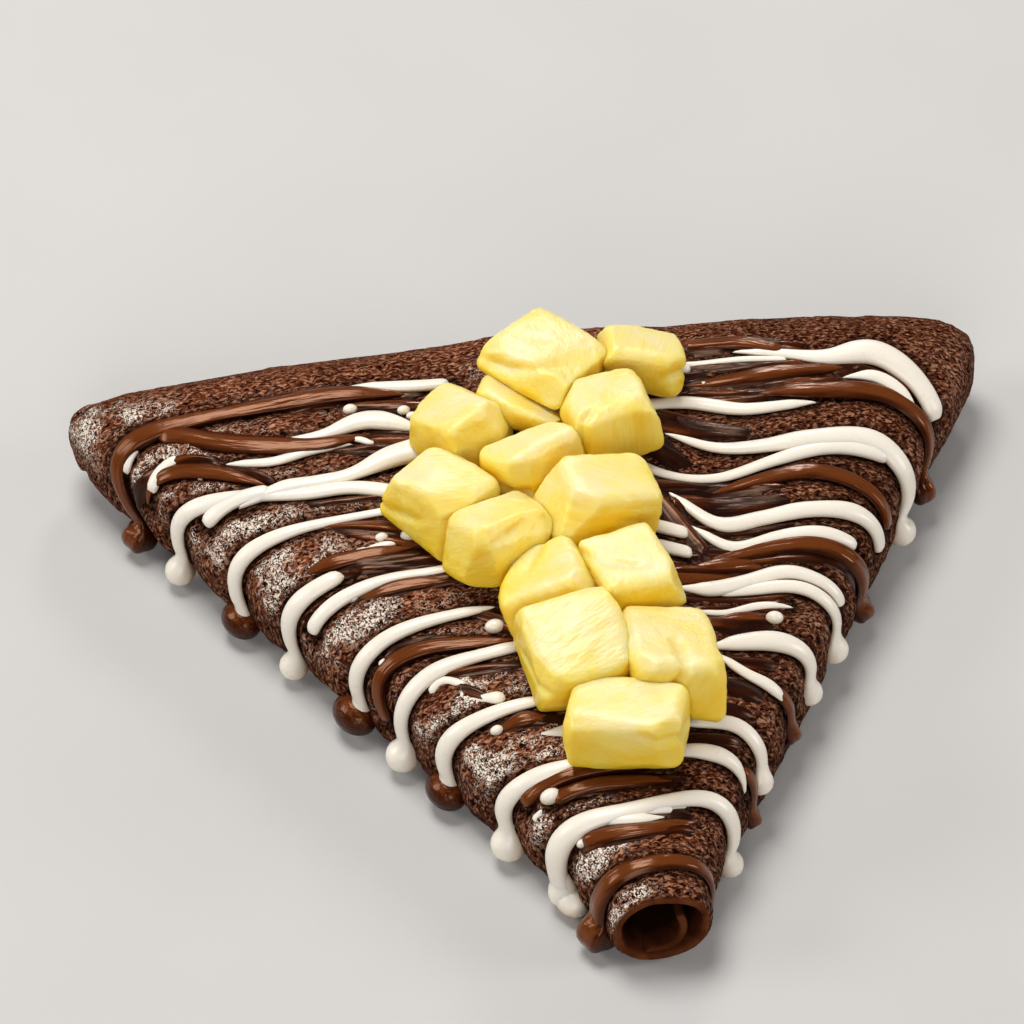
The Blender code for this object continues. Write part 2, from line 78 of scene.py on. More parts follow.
# The crepe thins to its lip over this length
LIP_WALL, LIP_LENGTH = 0.9, 4.0
# The crepe is darkened near the ropes, as sauce soak and as painted shade where they meet it.
# How far from the ropes is measured, and on the right side, where it is soaked further and
# painted darker as shade, the share that is taken off and the limit of what counts
GAP_LIMIT, SOAK_AND_SHADE_RIGHT, RIGHT_LIMIT = 9.0, 0.45, 2.4
# Pale dust on the shoulders, which also stands in as painted glints where the crepe faces the lamps: the
# way each faces, the least that a place faces it, and how much dust lies
DUST_AND_GLINTS_LEFT = ((-0.70, -0.25, 0.67), 0.68, 1.5)
DUST_AND_GLINTS_RIGHT = ((0.75, -0.30, 0.60), 0.80, 0.25)

# Relief of the crepe, the sauce and the fruit: how high its lumps are and how far across
SWELLS, LUMPS, SMALL_LUMPS, CRUMB = (0.35, 13.0), (0.18, 4.2), (0.12, 2.1), (0.20, 1.05)
LIP_WAVES, CURL_WAVES = (0.35, 6.0), (0.25, 3.0)
CORDS, FINE_CORDS = (0.70, 1.45), (0.16, 0.8)
STRANDS, FINE_STRANDS = (0.09, 0.95), (0.04, 0.5)
DENTS, FINE_DENTS = (0.25, 6.0), (0.05, 1.8)
PORE_DEPTH, PORE_SIZE = 0.45, 1.6
# The share of the relief that the hollow's inside has
INNER_RELIEF = 0.25
# The crepe is fully swollen this far from a rope, and by this share in its middle
BULGE_GAP, MIDDLE_BULGE = 3.6, 0.35

# How finely the crepe is divided round and along
AROUND, STATIONS = 430, 285

# Drizzle, as ropes that run over the crepe from its middle towards its feet. Each line holds
# where a rope starts and ends across (0 on top, -1 and 1 at the left and right foot), its
# distances along the crepe at even steps and its widths at even steps. Where a bead hangs at
# its end, the bead's radius and the height of its middle follow.
WHITE_LEFT = (
    (-0.16, -0.33, (117, 118, 120), (2.6, 2.4, 1.4)),
    (-0.23, -0.62, (106, 110.5, 109, 109, 111), (3.0, 4.0, 2.2, 1.8, 1.2)),
    (-0.38, -0.62, (106, 106, 105, 107), (1.4, 2.0, 1.9, 1.2)),
    (-0.20, -0.66, (102, 101, 98.5, 98.5, 97), (6.0, 4.8, 2.8, 3.2, 3.2)),
    (-0.32, -0.86, (91, 95.5, 96.5, 99, 101, 100.5), (3.4, 2.8, 2.6, 3.2, 3.0), 2.9, 3.4),
    (-0.58, -0.74, (98.5, 98.5, 97), (2.8, 3.2)),
    (-0.32, -0.86, (89, 89, 89, 88, 86), (1.8, 1.7, 2.3, 3.4, 3.2), 3.0, 3.5),
    (-0.57, -0.86, (77, 76, 75, 74), (3.0, 3.6, 3.0), 2.8, 3.3),
    (-0.22, -0.74, (75, 74, 74, 72.5, 70.5), (1.6, 1.9, 2.6, 2.9)),
    (-0.27, -0.86, (64, 63.5, 62.5, 60.5, 59.5), (1.8, 2.3, 2.9, 3.2, 3.0), 3.4, 3.9),
    (-0.18, -0.86, (54.5, 54, 53, 50.5, 49.5), (2.2, 2.4, 3.1, 3.2, 3.0), 3.2, 3.7),
    (-0.20, -0.86, (42, 42, 41.5, 41, 40), (1.9, 2.4, 3.0, 3.6, 3.2), 3.1, 3.6),
    (-0.10, -0.86, (28, 28, 28, 28, 26.5), (1.8, 2.7, 3.4, 3.6, 3.4), 3.3, 3.8),
)
WHITE_RIGHT = (
    (0.35, 0.77, (119, 117.5, 116, 117, 113, 106.5), (1.4, 2.0, 3.4, 5.4, 4.9, 4.8)),
    (0.24, 0.45, (117.5, 117, 116), (1.2, 1.3, 1.2)),
    (0.14, 0.52, (105.5, 107.5, 104.5, 105.5), (2.4, 2.8, 2.7, 1.6)),
    (0.56, 0.74, (111.6, 111.8, 108.8, 104.0), (1.6, 2.8, 3.0, 2.2)),
    (0.22, 0.86, (100, 96.5, 95.5, 96.5, 97, 93, 90), (1.6, 2.4, 3.4, 4.6, 4.2, 3.4), 3.0, 5.3),
    (0.09, 0.70, (95, 90, 89.5, 92, 94.8, 94.6), (2.2, 1.9, 2.2, 3.0, 3.8)),
    (0.22, 0.79, (86, 78.5, 79, 80.5, 81, 79), (1.2, 3.0, 3.2, 3.2, 3.5, 3.0)),
    (0.27, 0.70, (78, 73, 74.5, 75.5, 75), (1.2, 2.3, 2.4, 2.8, 3.0, 2.7)),
    (0.22, 0.73, (63, 63, 65, 67, 66, 64), (1.8, 2.9, 2.9, 2.7, 2.6, 2.4)),
    (0.32, 0.83, (62, 63.5, 64, 62, 60), (1.2, 2.3, 2.7, 2.6, 2.7), 2.8, 7.7),
    (0.27, 0.58, (58, 58, 60, 60), (1.2, 1.4, 1.7, 1.2)),
    (0.32, 0.76, (49.5, 51, 52, 51.5, 49.5), (1.8, 3.2, 4.0, 3.4, 3.0), 2.6, 8.7),
    (0.34, 0.69, (49, 45, 43, 41), (1.2, 2.0, 2.4, 1.4)),
    (0.17, 0.74, (34, 34, 34, 31.5, 29), (1.6, 2.2, 3.0, 3.1, 2.8), 2.5, 9.6),
    (0.06, 0.60, (26, 28, 28, 27, 24), (1.2, 2.4, 3.2, 1.8)),
    (0.13, 0.27, (78, 75.5), (2.8, 2.7)),
    (0.13, 0.28, (73, 71), (2.8, 2.7)),
)
WHITE_HOOP = (
    -0.86, 0.86, (14.8, 16.2, 17, 17, 18, 19, 17.5, 17), (5.2, 4.4, 3.3, 2.8, 3.5, 3.1), 2.6, 3.1
)
WHITE_THIN = (
    (-0.30, 0.12, (17.6, 16.0, 15.2, 15.0), (2.6, 2.4, 1.4)),
    (-0.16, 0.16, (17.5, 17, 16.5), (2.0, 1.8)),
    (-0.05, 0.24, (16.6, 17.0, 17.6), (1.6, 1.4)),
    (-0.36, -0.62, (82.5, 81, 80), (1.4, 1.8, 1.8)),
    (-0.34, -0.42, (105, 107.5, 106.5), (1.3, 1.3)),
    (-0.47, -0.59, (48.5, 51, 49.5), (1.4, 1.6)),
    (-0.38, -0.50, (44, 46), (2.6, 1.6)),
    (-0.18, -0.34, (34.5, 35.5), (3.2, 1.6)),
    (-0.47, -0.56, (23, 22.5), (1.6, 2.2)),
    (-0.68, -0.77, (111, 110, 108), (2.2, 2.6)),
    (-0.70, -0.78, (117.5, 116, 114), (1.8, 2.2)),
    (0.62, 0.68, (115.5, 114, 112), (2.4, 2.2)),
)
# Small drops of white chocolate: where they lie across and along, and their radius
WHITE_DROPS = (
    (-0.35, 114, 1.0),
    (-0.26, 112, 0.9),
    (-0.25, 110.5, 0.8),
    (-0.67, 106, 0.9),
    (-0.44, 83, 0.9),
    (-0.38, 82.5, 1.2),
    (-0.59, 72, 0.8),
    (-0.30, 59.5, 1.3),
    (-0.64, 58.5, 0.8),
    (-0.47, 38.5, 0.9),
    (-0.42, 24, 1.4),
    (-0.39, 14.5, 0.8),
    (0.26, 116, 1.1),
    (0.30, 112, 0.7),
    (0.53, 57, 1.2),
)
MILK_ROPES = (
    (-0.24, -0.88, (116, 118, 118, 118, 117, 110), (3.0, 4.0, 3.1, 4.4, 3.2), 3.3, 3.8),
    (-0.58, -0.80, (100, 106, 109, 108), (2.4, 3.4, 2.4)),
    (-0.26, -0.80, (56, 57, 58, 57, 53), (2.2, 3.2, 2.8)),
    (0.17, -0.56, (26, 26.5, 26.5, 25.5), (2.6, 3.2, 3.0)),
    (0.19, -0.42, (22.5, 23, 23.5, 23), (1.8, 2.9, 2.6)),
    (0.26, 0.57, (112, 112, 113, 114), (2.0, 3.2, 1.8)),
    (0.40, 0.88, (108, 108, 108, 104, 99), (2.8, 3.8, 3.4, 2.9), 2.9, 6.2),
    (0.32, 0.78, (86, 88, 89, 87, 83), (2.0, 3.2, 2.8)),
    (0.32, 0.86, (70, 72, 73, 72, 72), (2.2, 3.6, 4.2), 2.7, 4.7),
    (0.56, 0.80, (43, 42, 41.5), (2.4, 2.9), 2.3, 7.5),
    (0.52, 0.86, (27, 26.5, 26), (2.2, 2.7), 2.1, 4.0),
)
MILK_HOOP = (-0.88, 0.80, (5, 5.5, 6, 6.2, 6, 5), (5.2, 4.0, 3.0, 2.6, 2.2))
MILK_THIN = (
    (-0.34, -0.68, (107.5, 107, 110, 117), (2.2, 4.0, 3.5)),
    (-0.38, -0.67, (80, 80), (2.0, 3.4, 2.2)),
    (-0.33, -0.60, (71, 72, 71), (2.0, 3.2, 2.2)),
    (-0.24, -0.50, (38, 39, 38), (2.0, 3.4, 2.4)),
    (0.30, -0.39, (14.6, 13.0, 13.2, 14.6), (1.6, 3.0, 3.2)),
    (0.26, 0.44, (122, 121, 118), (3.0, 3.0)),
    (0.27, 0.46, (68, 69, 70), (1.8, 2.8, 1.8)),
    (0.33, 0.56, (56, 57, 56), (1.8, 2.8, 1.8)),
    (0.11, 0.46, (39, 38, 37), (2.4, 3.0, 1.8)),
)
# Streaks of thin sauce, each with its ends across, its distances along the crepe at even
# steps and its widths at even steps
SAUCE_STREAKS = (
    (-0.20, -0.48, (117, 118, 117), (3.6, 4.2, 3.0)),
    (-0.22, -0.36, (113, 115), (5.0, 3.2)),
    (-0.24, -0.36, (105, 107), (4.8, 2.8)),
    (-0.32, -0.43, (103.5, 105), (3.0, 2.2)),
    (-0.34, -0.54, (92, 94), (2.4, 1.8)),
    (-0.35, -0.54, (82, 85, 88), (6.4, 4.8, 2.2)),
    (-0.26, -0.63, (76, 77, 79), (4.0, 5.4, 2.2)),
    (-0.26, -0.61, (71.5, 72, 71), (3.2, 4.0, 2.0)),
    (-0.20, -0.33, (56, 60, 64), (3.4, 4.4, 2.6)),
    (-0.42, -0.64, (59, 59), (3.4, 3.2)),
    (-0.24, -0.58, (50, 51, 52), (2.8, 3.0, 1.4)),
    (-0.40, -0.50, (43, 49), (2.8, 2.0)),
    (-0.20, -0.51, (37, 39, 39), (3.4, 3.6, 2.4)),
    (0.20, -0.55, (26, 27, 27, 26), (3.6, 4.6, 4.4, 2.2)),
    (0.22, -0.44, (22.5, 23, 24), (3.0, 3.6, 2.4)),
    (0.26, -0.42, (13.5, 13, 14), (3.4, 3.4, 1.8)),
    (0.02, 0.30, (17, 14.5), (3.6, 2.6)),
    (-0.56, -0.84, (101, 109, 110, 110), (2.4, 2.6, 2.0)),
    (0.18, 0.48, (121, 121, 119), (2.8, 3.8, 2.2)),
    (0.22, 0.50, (118, 115.5, 115), (2.4, 2.6, 2.0)),
    (0.15, 0.31, (110, 114), (6.4, 4.6)),
    (0.26, 0.51, (112, 110.5, 112), (3.4, 3.8, 3.2)),
    (0.26, 0.65, (110, 108, 109, 109), (2.8, 4.0, 6.0)),
    (0.45, 0.70, (116, 114, 110), (2.4, 4.6, 4.8)),
    (0.14, 0.40, (106, 102, 99), (3.4, 4.4, 2.4)),
    (0.12, 0.28, (101, 92), (6.0, 6.6)),
    (0.14, 0.49, (87, 87, 86), (4.6, 5.0, 2.8)),
    (0.47, 0.63, (94, 94.5), (2.0, 1.8)),
    (0.11, 0.36, (94, 80, 67), (3.4, 4.6, 4.6)),
    (0.09, 0.23, (88, 82, 76), (5.0, 6.0, 3.0)),
    (0.20, 0.52, (83, 82.5), (5.4, 2.8)),
    (0.26, 0.54, (77, 77), (2.8, 2.4)),
    (0.26, 0.78, (71.5, 72, 72, 70), (3.6, 5.8, 6.0, 3.6)),
    (0.18, 0.46, (66, 68), (4.6, 2.4)),
    (0.22, 0.58, (61, 63), (3.0, 2.0)),
    (0.28, 0.56, (58, 60.5), (2.6, 1.8)),
    (0.28, 0.53, (55.5, 56), (5.0, 5.2)),
    (0.32, 0.57, (47, 47), (2.6, 2.4)),
    (0.32, 0.57, (42.5, 40.5), (4.4, 3.6)),
    (0.28, 0.52, (37.5, 36.5), (3.0, 2.4)),
    (0.20, 0.50, (30.5, 31), (4.2, 3.0)),
)
# Beads that lie beside the ends of ropes: side, distance along, radius and height
MILK_BEADS = ((-1, 86.0, 3.2, 3.7), (-1, 60.0, 3.5, 4.0), (-1, 40.0, 3.2, 3.7))
WHITE_BEADS = ((-1, 13.0, 2.6, 2.8),)
WHITE_LEFT_BEAD, MILK_LEFT_BEAD = (2.9, 3.4), (3.7, 3.8)
# A rope's height over its width, and how far below a bead's middle it ends, over the radius
WHITE_HEIGHT, MILK_HEIGHT = 0.52, 0.42
BEAD_END = 0.97
# The distances between a rope's points while it is evened out, and between its rings
FINE_STEP, RING_STEP = 0.25, 0.8
# The sauce's height where no streak is, and how far its cords are sunk
FILM_FLOOR, FILM_SINK = -0.7, 0.22

# Pineapple pieces: how many knife cuts shave each, how deep, how deep and wide its fold is, and
# how much larger it is than its solid
PIECES = 14
CUTS = 9
LEAST_CUT, DEEPEST_CUT = 0.4, 1.7
FOLD_DEPTH, FOLD_WIDTH = 0.9, 0.8
PIECE_GROWTH = 1.08
# Pieces that grow otherwise: how much across, along and upward, and how far they move forward
ODD_GROWTH = {
    "pineapple_12": ((1.16, 1.16, 1.22), 0.0),
    "pineapple_14": ((1.08, 1.16, 1.08), 1.2),
}

# The camera, in millimetres and degrees
CAMERA_TARGET = (-7.67, 29.47, 12.0)
CAMERA_DISTANCE = 799.7
CAMERA_AZIMUTH, CAMERA_ELEVATION, CAMERA_ROLL = -10.13, 44.85, 0.28
FOCAL_PIXELS, IMAGE_PIXELS, SENSOR = 4411.0, 1024.0, 36.0

LATTICE = np.random.default_rng(11).random((32, 32, 32))


def value_noise(points, size, seed):
    """Smooth noise from -1 to 1 with lumps about this size across."""
    at = np.asarray(points, float) / size + 7.31 * seed
    cell = np.floor(at).astype(int)
    part = at - cell
    part = part * part * (3.0 - 2.0 * part)
    total = np.zeros(at.shape[:-1])
    for corner in itertools.product((0, 1), repeat=3):
        weight = np.prod(np.where(corner, part, 1.0 - part), axis=-1)
        index = (cell + corner) % 32
        total += weight * LATTICE[index[..., 0], index[..., 1], index[..., 2]]
    return 2.0 * total - 1.0


def unit(ways):
    """The same ways with a length of one."""
    return ways / np.maximum(np.linalg.norm(ways, axis=-1, keepdims=True), 1e-9)


def lumpy(points, lumps, seed):
    """How far lumps of this height and size stand out at each point."""
    height, size = lumps
    return height * value_noise(points, size, seed)


def blend(low, high, amount):
    return low + (high - low) * np.clip(amount, 0.0, 1.0)


def bend(values, amount):
    """Smooth curve through evenly spaced values, read at a fraction from 0 to 1."""
    values = np.asarray(values, float)
    at = np.clip(amount, 0.0, 1.0) * (len(values) - 1)
    first = np.minimum(at.astype(int), len(values) - 2)
    part = at - first
    padded = np.concatenate([[2 * values[0] - values[1]], values, [2 * values[-1] - values[-2]]])
    a, b, c, d = (padded[first + k] for k in range(4))
    turn = (c - a) * part + (2 * a - 5 * b + 4 * c - d) * part**2 + (3 * b - a - 3 * c + d) * part**3
    return b + turn / 2


def flare(distance):
    return (distance + np.sqrt(distance**2 + FLARE**2)) / 2


def half_width(along):
    widening = flare(along - TUBE_LENGTH) / flare(LENGTH - TUBE_LENGTH)
    return TIP_RADIUS + (WIDTH / 2 - TIP_RADIUS) * widening


def skin(along, angle):
    """Points of the crepe's outside; the angle is 0 on top and positive to the right."""
    squareness = 2.0 / blend(TIP_SQUARE, BACK_SQUARE, along / SQUARE_FROM)
    sine, cosine = np.sin(angle), np.cos(angle)
    u = np.sign(sine) * np.abs(sine) ** squareness
    v = np.sign(cosine) * np.abs(cosine) ** squareness
    closing = np.clip((along - LENGTH + CORNER) / CORNER, 0.0, 1.0)
    open_part = np.sqrt(1.0 - closing**2.5)
    height = TIP_HEIGHT + (BACK_HEIGHT - TIP_HEIGHT) * np.clip(along / LENGTH, 0, 1) ** RISE
    corner = CORNER * np.where(u < 0, CORNER_LEFT, CORNER_RIGHT)
    x = (half_width(along) - corner * (1.0 - open_part)) * u
    belly = blend(TIP_BELLY, BELLY, along / 30.0)
    z = height * (belly + (1.0 - belly) * blend(EDGE_HEIGHT, 1.0, open_part) * v)
    ridge = RIDGE * np.exp(-(((x - RIDGE_AT) / RIDGE_WIDTH) ** 2))
    valley = VALLEY * np.exp(-(((x - VALLEY_AT) / VALLEY_WIDTH) ** 2))
    grown = np.clip((along - MIDDLE_FROM) / MIDDLE_LENGTH, 0, 1)
    z = z + (ridge - valley) * grown * np.clip(v, 0, 1) ** 2 * open_part
    bow = np.where(u < 0, BOW_LEFT, BOW_RIGHT)
    y = along - bow * along / LENGTH * u**2 - SKEW * along / LENGTH * u
    crease = sum(np.exp(-(((z - share * height) / CREASE_WIDTH) ** 2)) for share in CREASE_HEIGHTS)
    y = y - LAYER_CREASE * crease * np.clip(2.0 * closing - 0.7, 0, 1)
    return np.stack([x, y, np.maximum(z, 0.0)], axis=-1)


def grid_normals(points):
    """Outward unit normals of a grid of points; rows run along, columns run round."""
    along = np.gradient(points, axis=0)
    round_way = np.gradient(points, axis=1)
    return unit(np.cross(round_way, along))


# The chart of the skin: its points and outward ways at even steps across and along
CHART_EDGE, CHART_STEP = 0.99, 0.5
CHART_ACROSS = np.linspace(-CHART_EDGE, CHART_EDGE, 221)
CHART_ALONG = np.arange(0.0, 130.01, CHART_STEP)


def over_top(along):
    """The section from the left foot over the top to the right foot, finely divided."""
    points = skin(along, np.linspace(-math.pi, math.pi, 961))
    raised = np.flatnonzero(points[:, 2] > 0.02)
    return points[raised[0] : raised[-1] + 1]


def top_of(section):
    """Which point of a section lies on top, above its middle."""
    upper = section[:, 2] > section[:, 2].max() * 0.5
    return int(np.argmin(np.abs(section[:, 0]) + np.where(upper, 0.0, 1e3)))


def run_along(points):
    """How far along a line each of its points lies."""
    return np.concatenate([[0.0], np.cumsum(np.linalg.norm(np.diff(points, axis=0), axis=1))])


def read_at(wanted, places, table):
    """Reads the columns of a table that is known at these places at the wanted ones."""
    return np.stack([np.interp(wanted, places, values) for values in table.T], axis=-1)


def chart_row(along):
    points = over_top(along)
    top, run = top_of(points), run_along(points)
    reach = np.where(CHART_ACROSS < 0, run[top], run[-1] - run[top])
    return read_at(run[top] + CHART_ACROSS * reach, run, points)


CHART = np.array([chart_row(along) for along in CHART_ALONG])
CHART_OUT = grid_normals(CHART)
CHART_REACH = np.linalg.norm(np.diff(CHART, axis=1), axis=-1).sum(axis=1) / (2 * CHART_EDGE)


def on_chart(table, across, along):
    """Reads the chart between its steps."""
    i = np.clip((np.asarray(along, float) - CHART_ALONG[0]) / CHART_STEP, 0, len(CHART_ALONG) - 1.001)
    step = CHART_ACROSS[1] - CHART_ACROSS[0]
    j = np.clip((np.asarray(across, float) - CHART_ACROSS[0]) / step, 0, len(CHART_ACROSS) - 1.001)
    i0, j0 = i.astype(int), j.astype(int)
    a, b = (i - i0)[..., None], (j - j0)[..., None]
    near = table[i0, j0] * (1 - b) + table[i0, j0 + 1] * b
    far = table[i0 + 1, j0] * (1 - b) + table[i0 + 1, j0 + 1] * b
    return near * (1 - a) + far * a


def add_attribute(mesh, label, values):
    """Stores one number or one vector a vertex for the material."""
    values = np.asarray(values, np.float32)
    kind, key = ("FLOAT_VECTOR", "vector") if values.ndim == 2 else ("FLOAT", "value")
    mesh.attributes.new(label, kind, "POINT").data.foreach_set(key, values.ravel())


def show(name, data):
    """A new object in the scene."""
    obj = bpy.data.objects.new(name, data)
    bpy.context.scene.collection.objects.link(obj)
    return obj


def new_mesh(name, points, faces, material, **attributes):
    mesh = bpy.data.meshes.new(name)
    mesh.from_pydata(((np.asarray(points) + SHIFT) * 0.001).tolist(), [], faces)
    mesh.materials.append(material)
    for label, values in attributes.items():
        add_attribute(mesh, label, values)
    mesh.shade_smooth()
    return show(name, mesh)


def grid_faces(rows, columns, first=0, closed=True):
    """Quads of a grid of points; closed joins the last column to the first."""
    i, j = np.meshgrid(np.arange(rows - 1), np.arange(columns if closed else columns - 1), indexing="ij")
    k = (j + 1) % columns
    quads = [i * columns + j, i * columns + k, (i + 1) * columns + k, (i + 1) * columns + j]
    return (np.stack(quads, axis=-1).reshape(-1, 4) + first).tolist()


def tube_faces(rows, columns, first=0):
    """Faces of a closed tube: its sides and a cap at each end."""
    front = list(range(first, first + columns))
    back = [(rows - 1) * columns + corner for corner in front]
    return [*grid_faces(rows, columns, first), front[::-1], back]


def even_angles(along, count):
    """Angles that divide the section evenly over its top and sides, and widely underneath."""
    fine = np.linspace(-math.pi, math.pi, 1441)
    points = skin(along, fine)
    lifted = np.minimum(points[1:, 2], points[:-1, 2]) > 0.01
    steps = np.linalg.norm(np.diff(points, axis=0), axis=1) * np.where(lifted, 1.0, 0.12) + 1e-3
    run = np.concatenate([[0.0], np.cumsum(steps)])
    return np.interp(np.linspace(0, run[-1], count, endpoint=False), run, fine)


def swells(points):
    """How far the broad waves of the crepe stand out, in millimetres."""
    return lumpy(points, SWELLS, 1)


def crepe_relief(points):
    """Waves, lumps, grain and pores of the crepe."""
    lumps = lumpy(points, LUMPS, 2) + lumpy(points, SMALL_LUMPS, 3)
    pores = PORE_DEPTH * np.clip((value_noise(points, PORE_SIZE, 5) - 0.40) / 0.3, 0, 1)
    return swells(points) + lumps + lumpy(points, CRUMB, 4) - pores


def beside(distances, part, along, length):
    """How far each place lies beside a line, square to it."""
    slope = (bend(distances, part + 0.01) - bend(distances, part - 0.01)) / (0.02 * length)
    return (along - bend(distances, part)) / np.sqrt(1 + slope**2)


def rope_gap(across, along):
    """How far each place is from the edge of the nearest rope, in millimetres."""
    reach = np.interp(along, CHART_ALONG, CHART_REACH)
    nearest = np.full(across.shape, GAP_LIMIT)
    lines = (*WHITE_LEFT, *WHITE_RIGHT, WHITE_HOOP, *MILK_ROPES, MILK_HOOP)
    for start, end, distances, widths, *_ in lines:
        part = (across - start) / (end - start)
        inside = np.clip(part, 0, 1)
        length = abs(end - start) * reach
        past = np.abs(part - inside) * length
        if abs(end) > 0.8:
            past = np.where(part > 1, 0.0, past)
        aside = beside(distances, inside, along, length)
        nearest = np.minimum(nearest, np.hypot(aside, past) - bend(widths, inside) / 2)
    return np.maximum(nearest, 0.0)


def bulge(across, gap):
    """How far the crepe swells up between the ropes that press into it."""
    amount = np.clip(gap / BULGE_GAP, 0, 1)
    return blend(MIDDLE_BULGE, 1.0, (np.abs(across) - 0.42) / 0.2) * amount * (2 - amount)


def shares_across(section):
    """How far round from the top each point of a section lies.

    Gives it in millimetres and as a share, from -1 at the left foot to 1 at the right one.
    """
    top, run = top_of(section), run_along(section)
    raised = np.flatnonzero(section[:, 2] > 0.02)
    reach = np.where(run < run[top], run[top] - run[raised[0]], run[raised[-1]] - run[top])
    return run - run[top], np.clip((run - run[top]) / reach, -1, 1)


def dusted(normals, shoulder):
    """How thickly dust lies, with painted glints, where the surface faces the shoulder's way."""
    way, least, amount = shoulder
    turned = (normals @ unit(np.array(way)) - least) / (0.97 - least)
    return np.minimum(amount * np.clip(turned, 0, 1), 1)


def crepe_sections():
    """The crepe's sections, from deep in the hollow over the lip to the closed back.

    Gives their points, how much each belongs to the inside, their distances along, and how
    many of them are in the hollow or on the lip.
    """
    rows, edge, distances = [], [], []
    front = skin(0.0, even_angles(0.0, AROUND))
    centre = np.array([0.0, 0.0, front[:, 2].mean()])
    way = unit(front - centre)
    wave = lumpy(front, LIP_WAVES, 8)[:, None] * np.array([0.0, 1.0, 0.0])
    for part in np.linspace(1.0, 0.0, 30):
        depth = LIP_WALL / 2 + (HOLLOW_DEPTHS[-1] - LIP_WALL / 2) * part
        share = np.interp(depth, HOLLOW_DEPTHS, HOLLOW_SHARES)
        rows.append(centre + (front - centre - WALL * way) * share + [0, depth, 0] + wave * (1 - part))
        # Above 1 the rim grows with depth into the hollow, which the material paints darker as shade.
        edge.append(1.0 + part)
        distances.append(0.0)
    for turn in np.linspace(0, math.pi, 9)[1:-1]:
        inset = WALL - LIP_WALL / 2 * (1 - math.cos(turn))
        rows.append(front - inset * way + [0, LIP_WALL / 2 * (1 - math.sin(turn)), 0] + wave)
        edge.append(1.0)
        distances.append(0.0)
    inside = len(rows)
    stations = LENGTH * np.linspace(0.0, 1.0, STATIONS) ** 1.06
    stations = LIP_WALL / 2 + stations[stations < LENGTH - CORNER]
    closing = LENGTH - CORNER * (1.0 - np.sin(np.linspace(0.02, 1.0, 46) * math.pi / 2))
    for along in [*stations[stations < closing[0] - 0.2], *closing]:
        fade = max(0.0, 1.0 - along / 5.0)
        inset = (WALL - LIP_WALL) * max(0.0, 1.0 - along / LIP_LENGTH) ** 1.6
        ring = skin(along, even_angles(along, AROUND)) + wave * fade
        rows.append(ring - way * inset if inset else ring)
        edge.append(max(0.0, 1.0 - along / 0.8))
        distances.append(along)
    return np.array(rows), edge, np.array(distances)[:, None], inside


def crepe_body(material):
    grid, edge, distances, inside = crepe_sections()
    normals = grid_normals(np.concatenate([grid, grid[:, :1]], axis=1))[:, :-1]
    run, across = (np.array(values) for values in zip(*(shares_across(row) for row in grid)))
    gap = rope_gap(across, np.repeat(distances, AROUND, axis=1))
    amount = np.clip(grid[..., 1] / 2.0, INNER_RELIEF, 1.0)
    amount[:inside] = INNER_RELIEF
    amount = amount * np.clip(grid[..., 2] / 0.8, 0, 1)
    relief = (crepe_relief(grid) + bulge(across, gap)) * amount
    grid = grid + normals * relief[..., None]
    grid[..., 2] = np.maximum(grid[..., 2], 0.0)
    # The dust lies thickest where the crepe faces the left and right lamps, and there it stands in as
    # painted glints.
    dust = dusted(normals, DUST_AND_GLINTS_LEFT) + dusted(normals, DUST_AND_GLINTS_RIGHT)
    steps = np.diff(grid, axis=0, prepend=grid[:1])
    folded = distances >= LENGTH - CORNER
    lengths = np.where(folded, np.linalg.norm(steps, axis=-1), steps[..., 1])
    grain = np.stack([run, np.cumsum(lengths, axis=0), 0 * run], axis=-1)
    # Painted shade with the soak: the crepe darkens beside the ropes, and more on the right side.
    right = np.clip((across - 0.05) / 0.3, 0, 1)
    soak_and_shade_gap = np.minimum(gap, blend(GAP_LIMIT, RIGHT_LIMIT, right)) * (1 - SOAK_AND_SHADE_RIGHT * right)
    return new_mesh(
        "crepe_body",
        grid.reshape(-1, 3),
        tube_faces(len(grid), AROUND),
        material,
        rim=np.repeat(edge, AROUND),
        gap=soak_and_shade_gap.ravel(),
        dust=dust.ravel(),
        grain=grain.reshape(-1, 3),
    )


def curl(material):
    """The end of the roll that stands free inside the hollow tip."""
    turns = np.linspace(0.0, 1.0, 36)
    angle = np.radians(CURL_FROM + (CURL_TO - CURL_FROM) * turns)
    radius = bend(CURL_RADII, turns)
    way = np.stack([np.cos(angle), np.zeros_like(angle), np.sin(angle)], axis=-1)
    middle = way * (radius - CURL_WALL / 2)[:, None]
    half = CURL_WALL / 2 * np.sqrt(np.clip(1 - ((turns - 0.5) / 0.5) ** 12, 0.01, 1))
    rows, edge = [], []
    lip = ((0.62, 0.15), (0.66, 0.5), (0.85, 0.85), (1.2, 1.0))
    for depth, thin in (*lip, *((deeper, 1.0) for deeper in range(2, 22))):
        outer = middle + way * (half * thin)[:, None]
        inner = middle - way * (half * thin)[:, None]
        ring = np.concatenate([outer, inner[::-1]]) + [0, depth, TIP_HEIGHT / 2]
        rows.append(ring)
        # Above 1 the rim grows with depth, which the material paints darker as shade.
        edge.append(1.0 + depth / 22)
    grid = np.array(rows)
    grid[..., 1] += lumpy(grid, CURL_WAVES, 9)
    faces = [face[::-1] for face in tube_faces(*grid.shape[:2])]
    rim = np.repeat(edge, grid.shape[1])
    flat = grid.reshape(-1, 3)
    gap, dust = np.full(len(rim), GAP_LIMIT), np.zeros(len(rim))
    return new_mesh("curl", flat, faces, material, rim=rim, gap=gap, dust=dust, grain=flat)


def bead_centre(end, along, bead):
    """A bead hangs beside the crepe's widest line."""
    radius, height = bead
    side = math.copysign(1.0, end)
    points = over_top(along)
    widest = points[np.argmax(points[:, 0] * side)]
    return np.array([widest[0] + side * radius * 0.2, widest[1], height])


def smoothed(values, times):
    """A run of points evened out, its two ends kept."""
    for _ in range(times):
        values[1:-1] = (values[:-2] + 2 * values[1:-1] + values[2:]) / 4
    return values


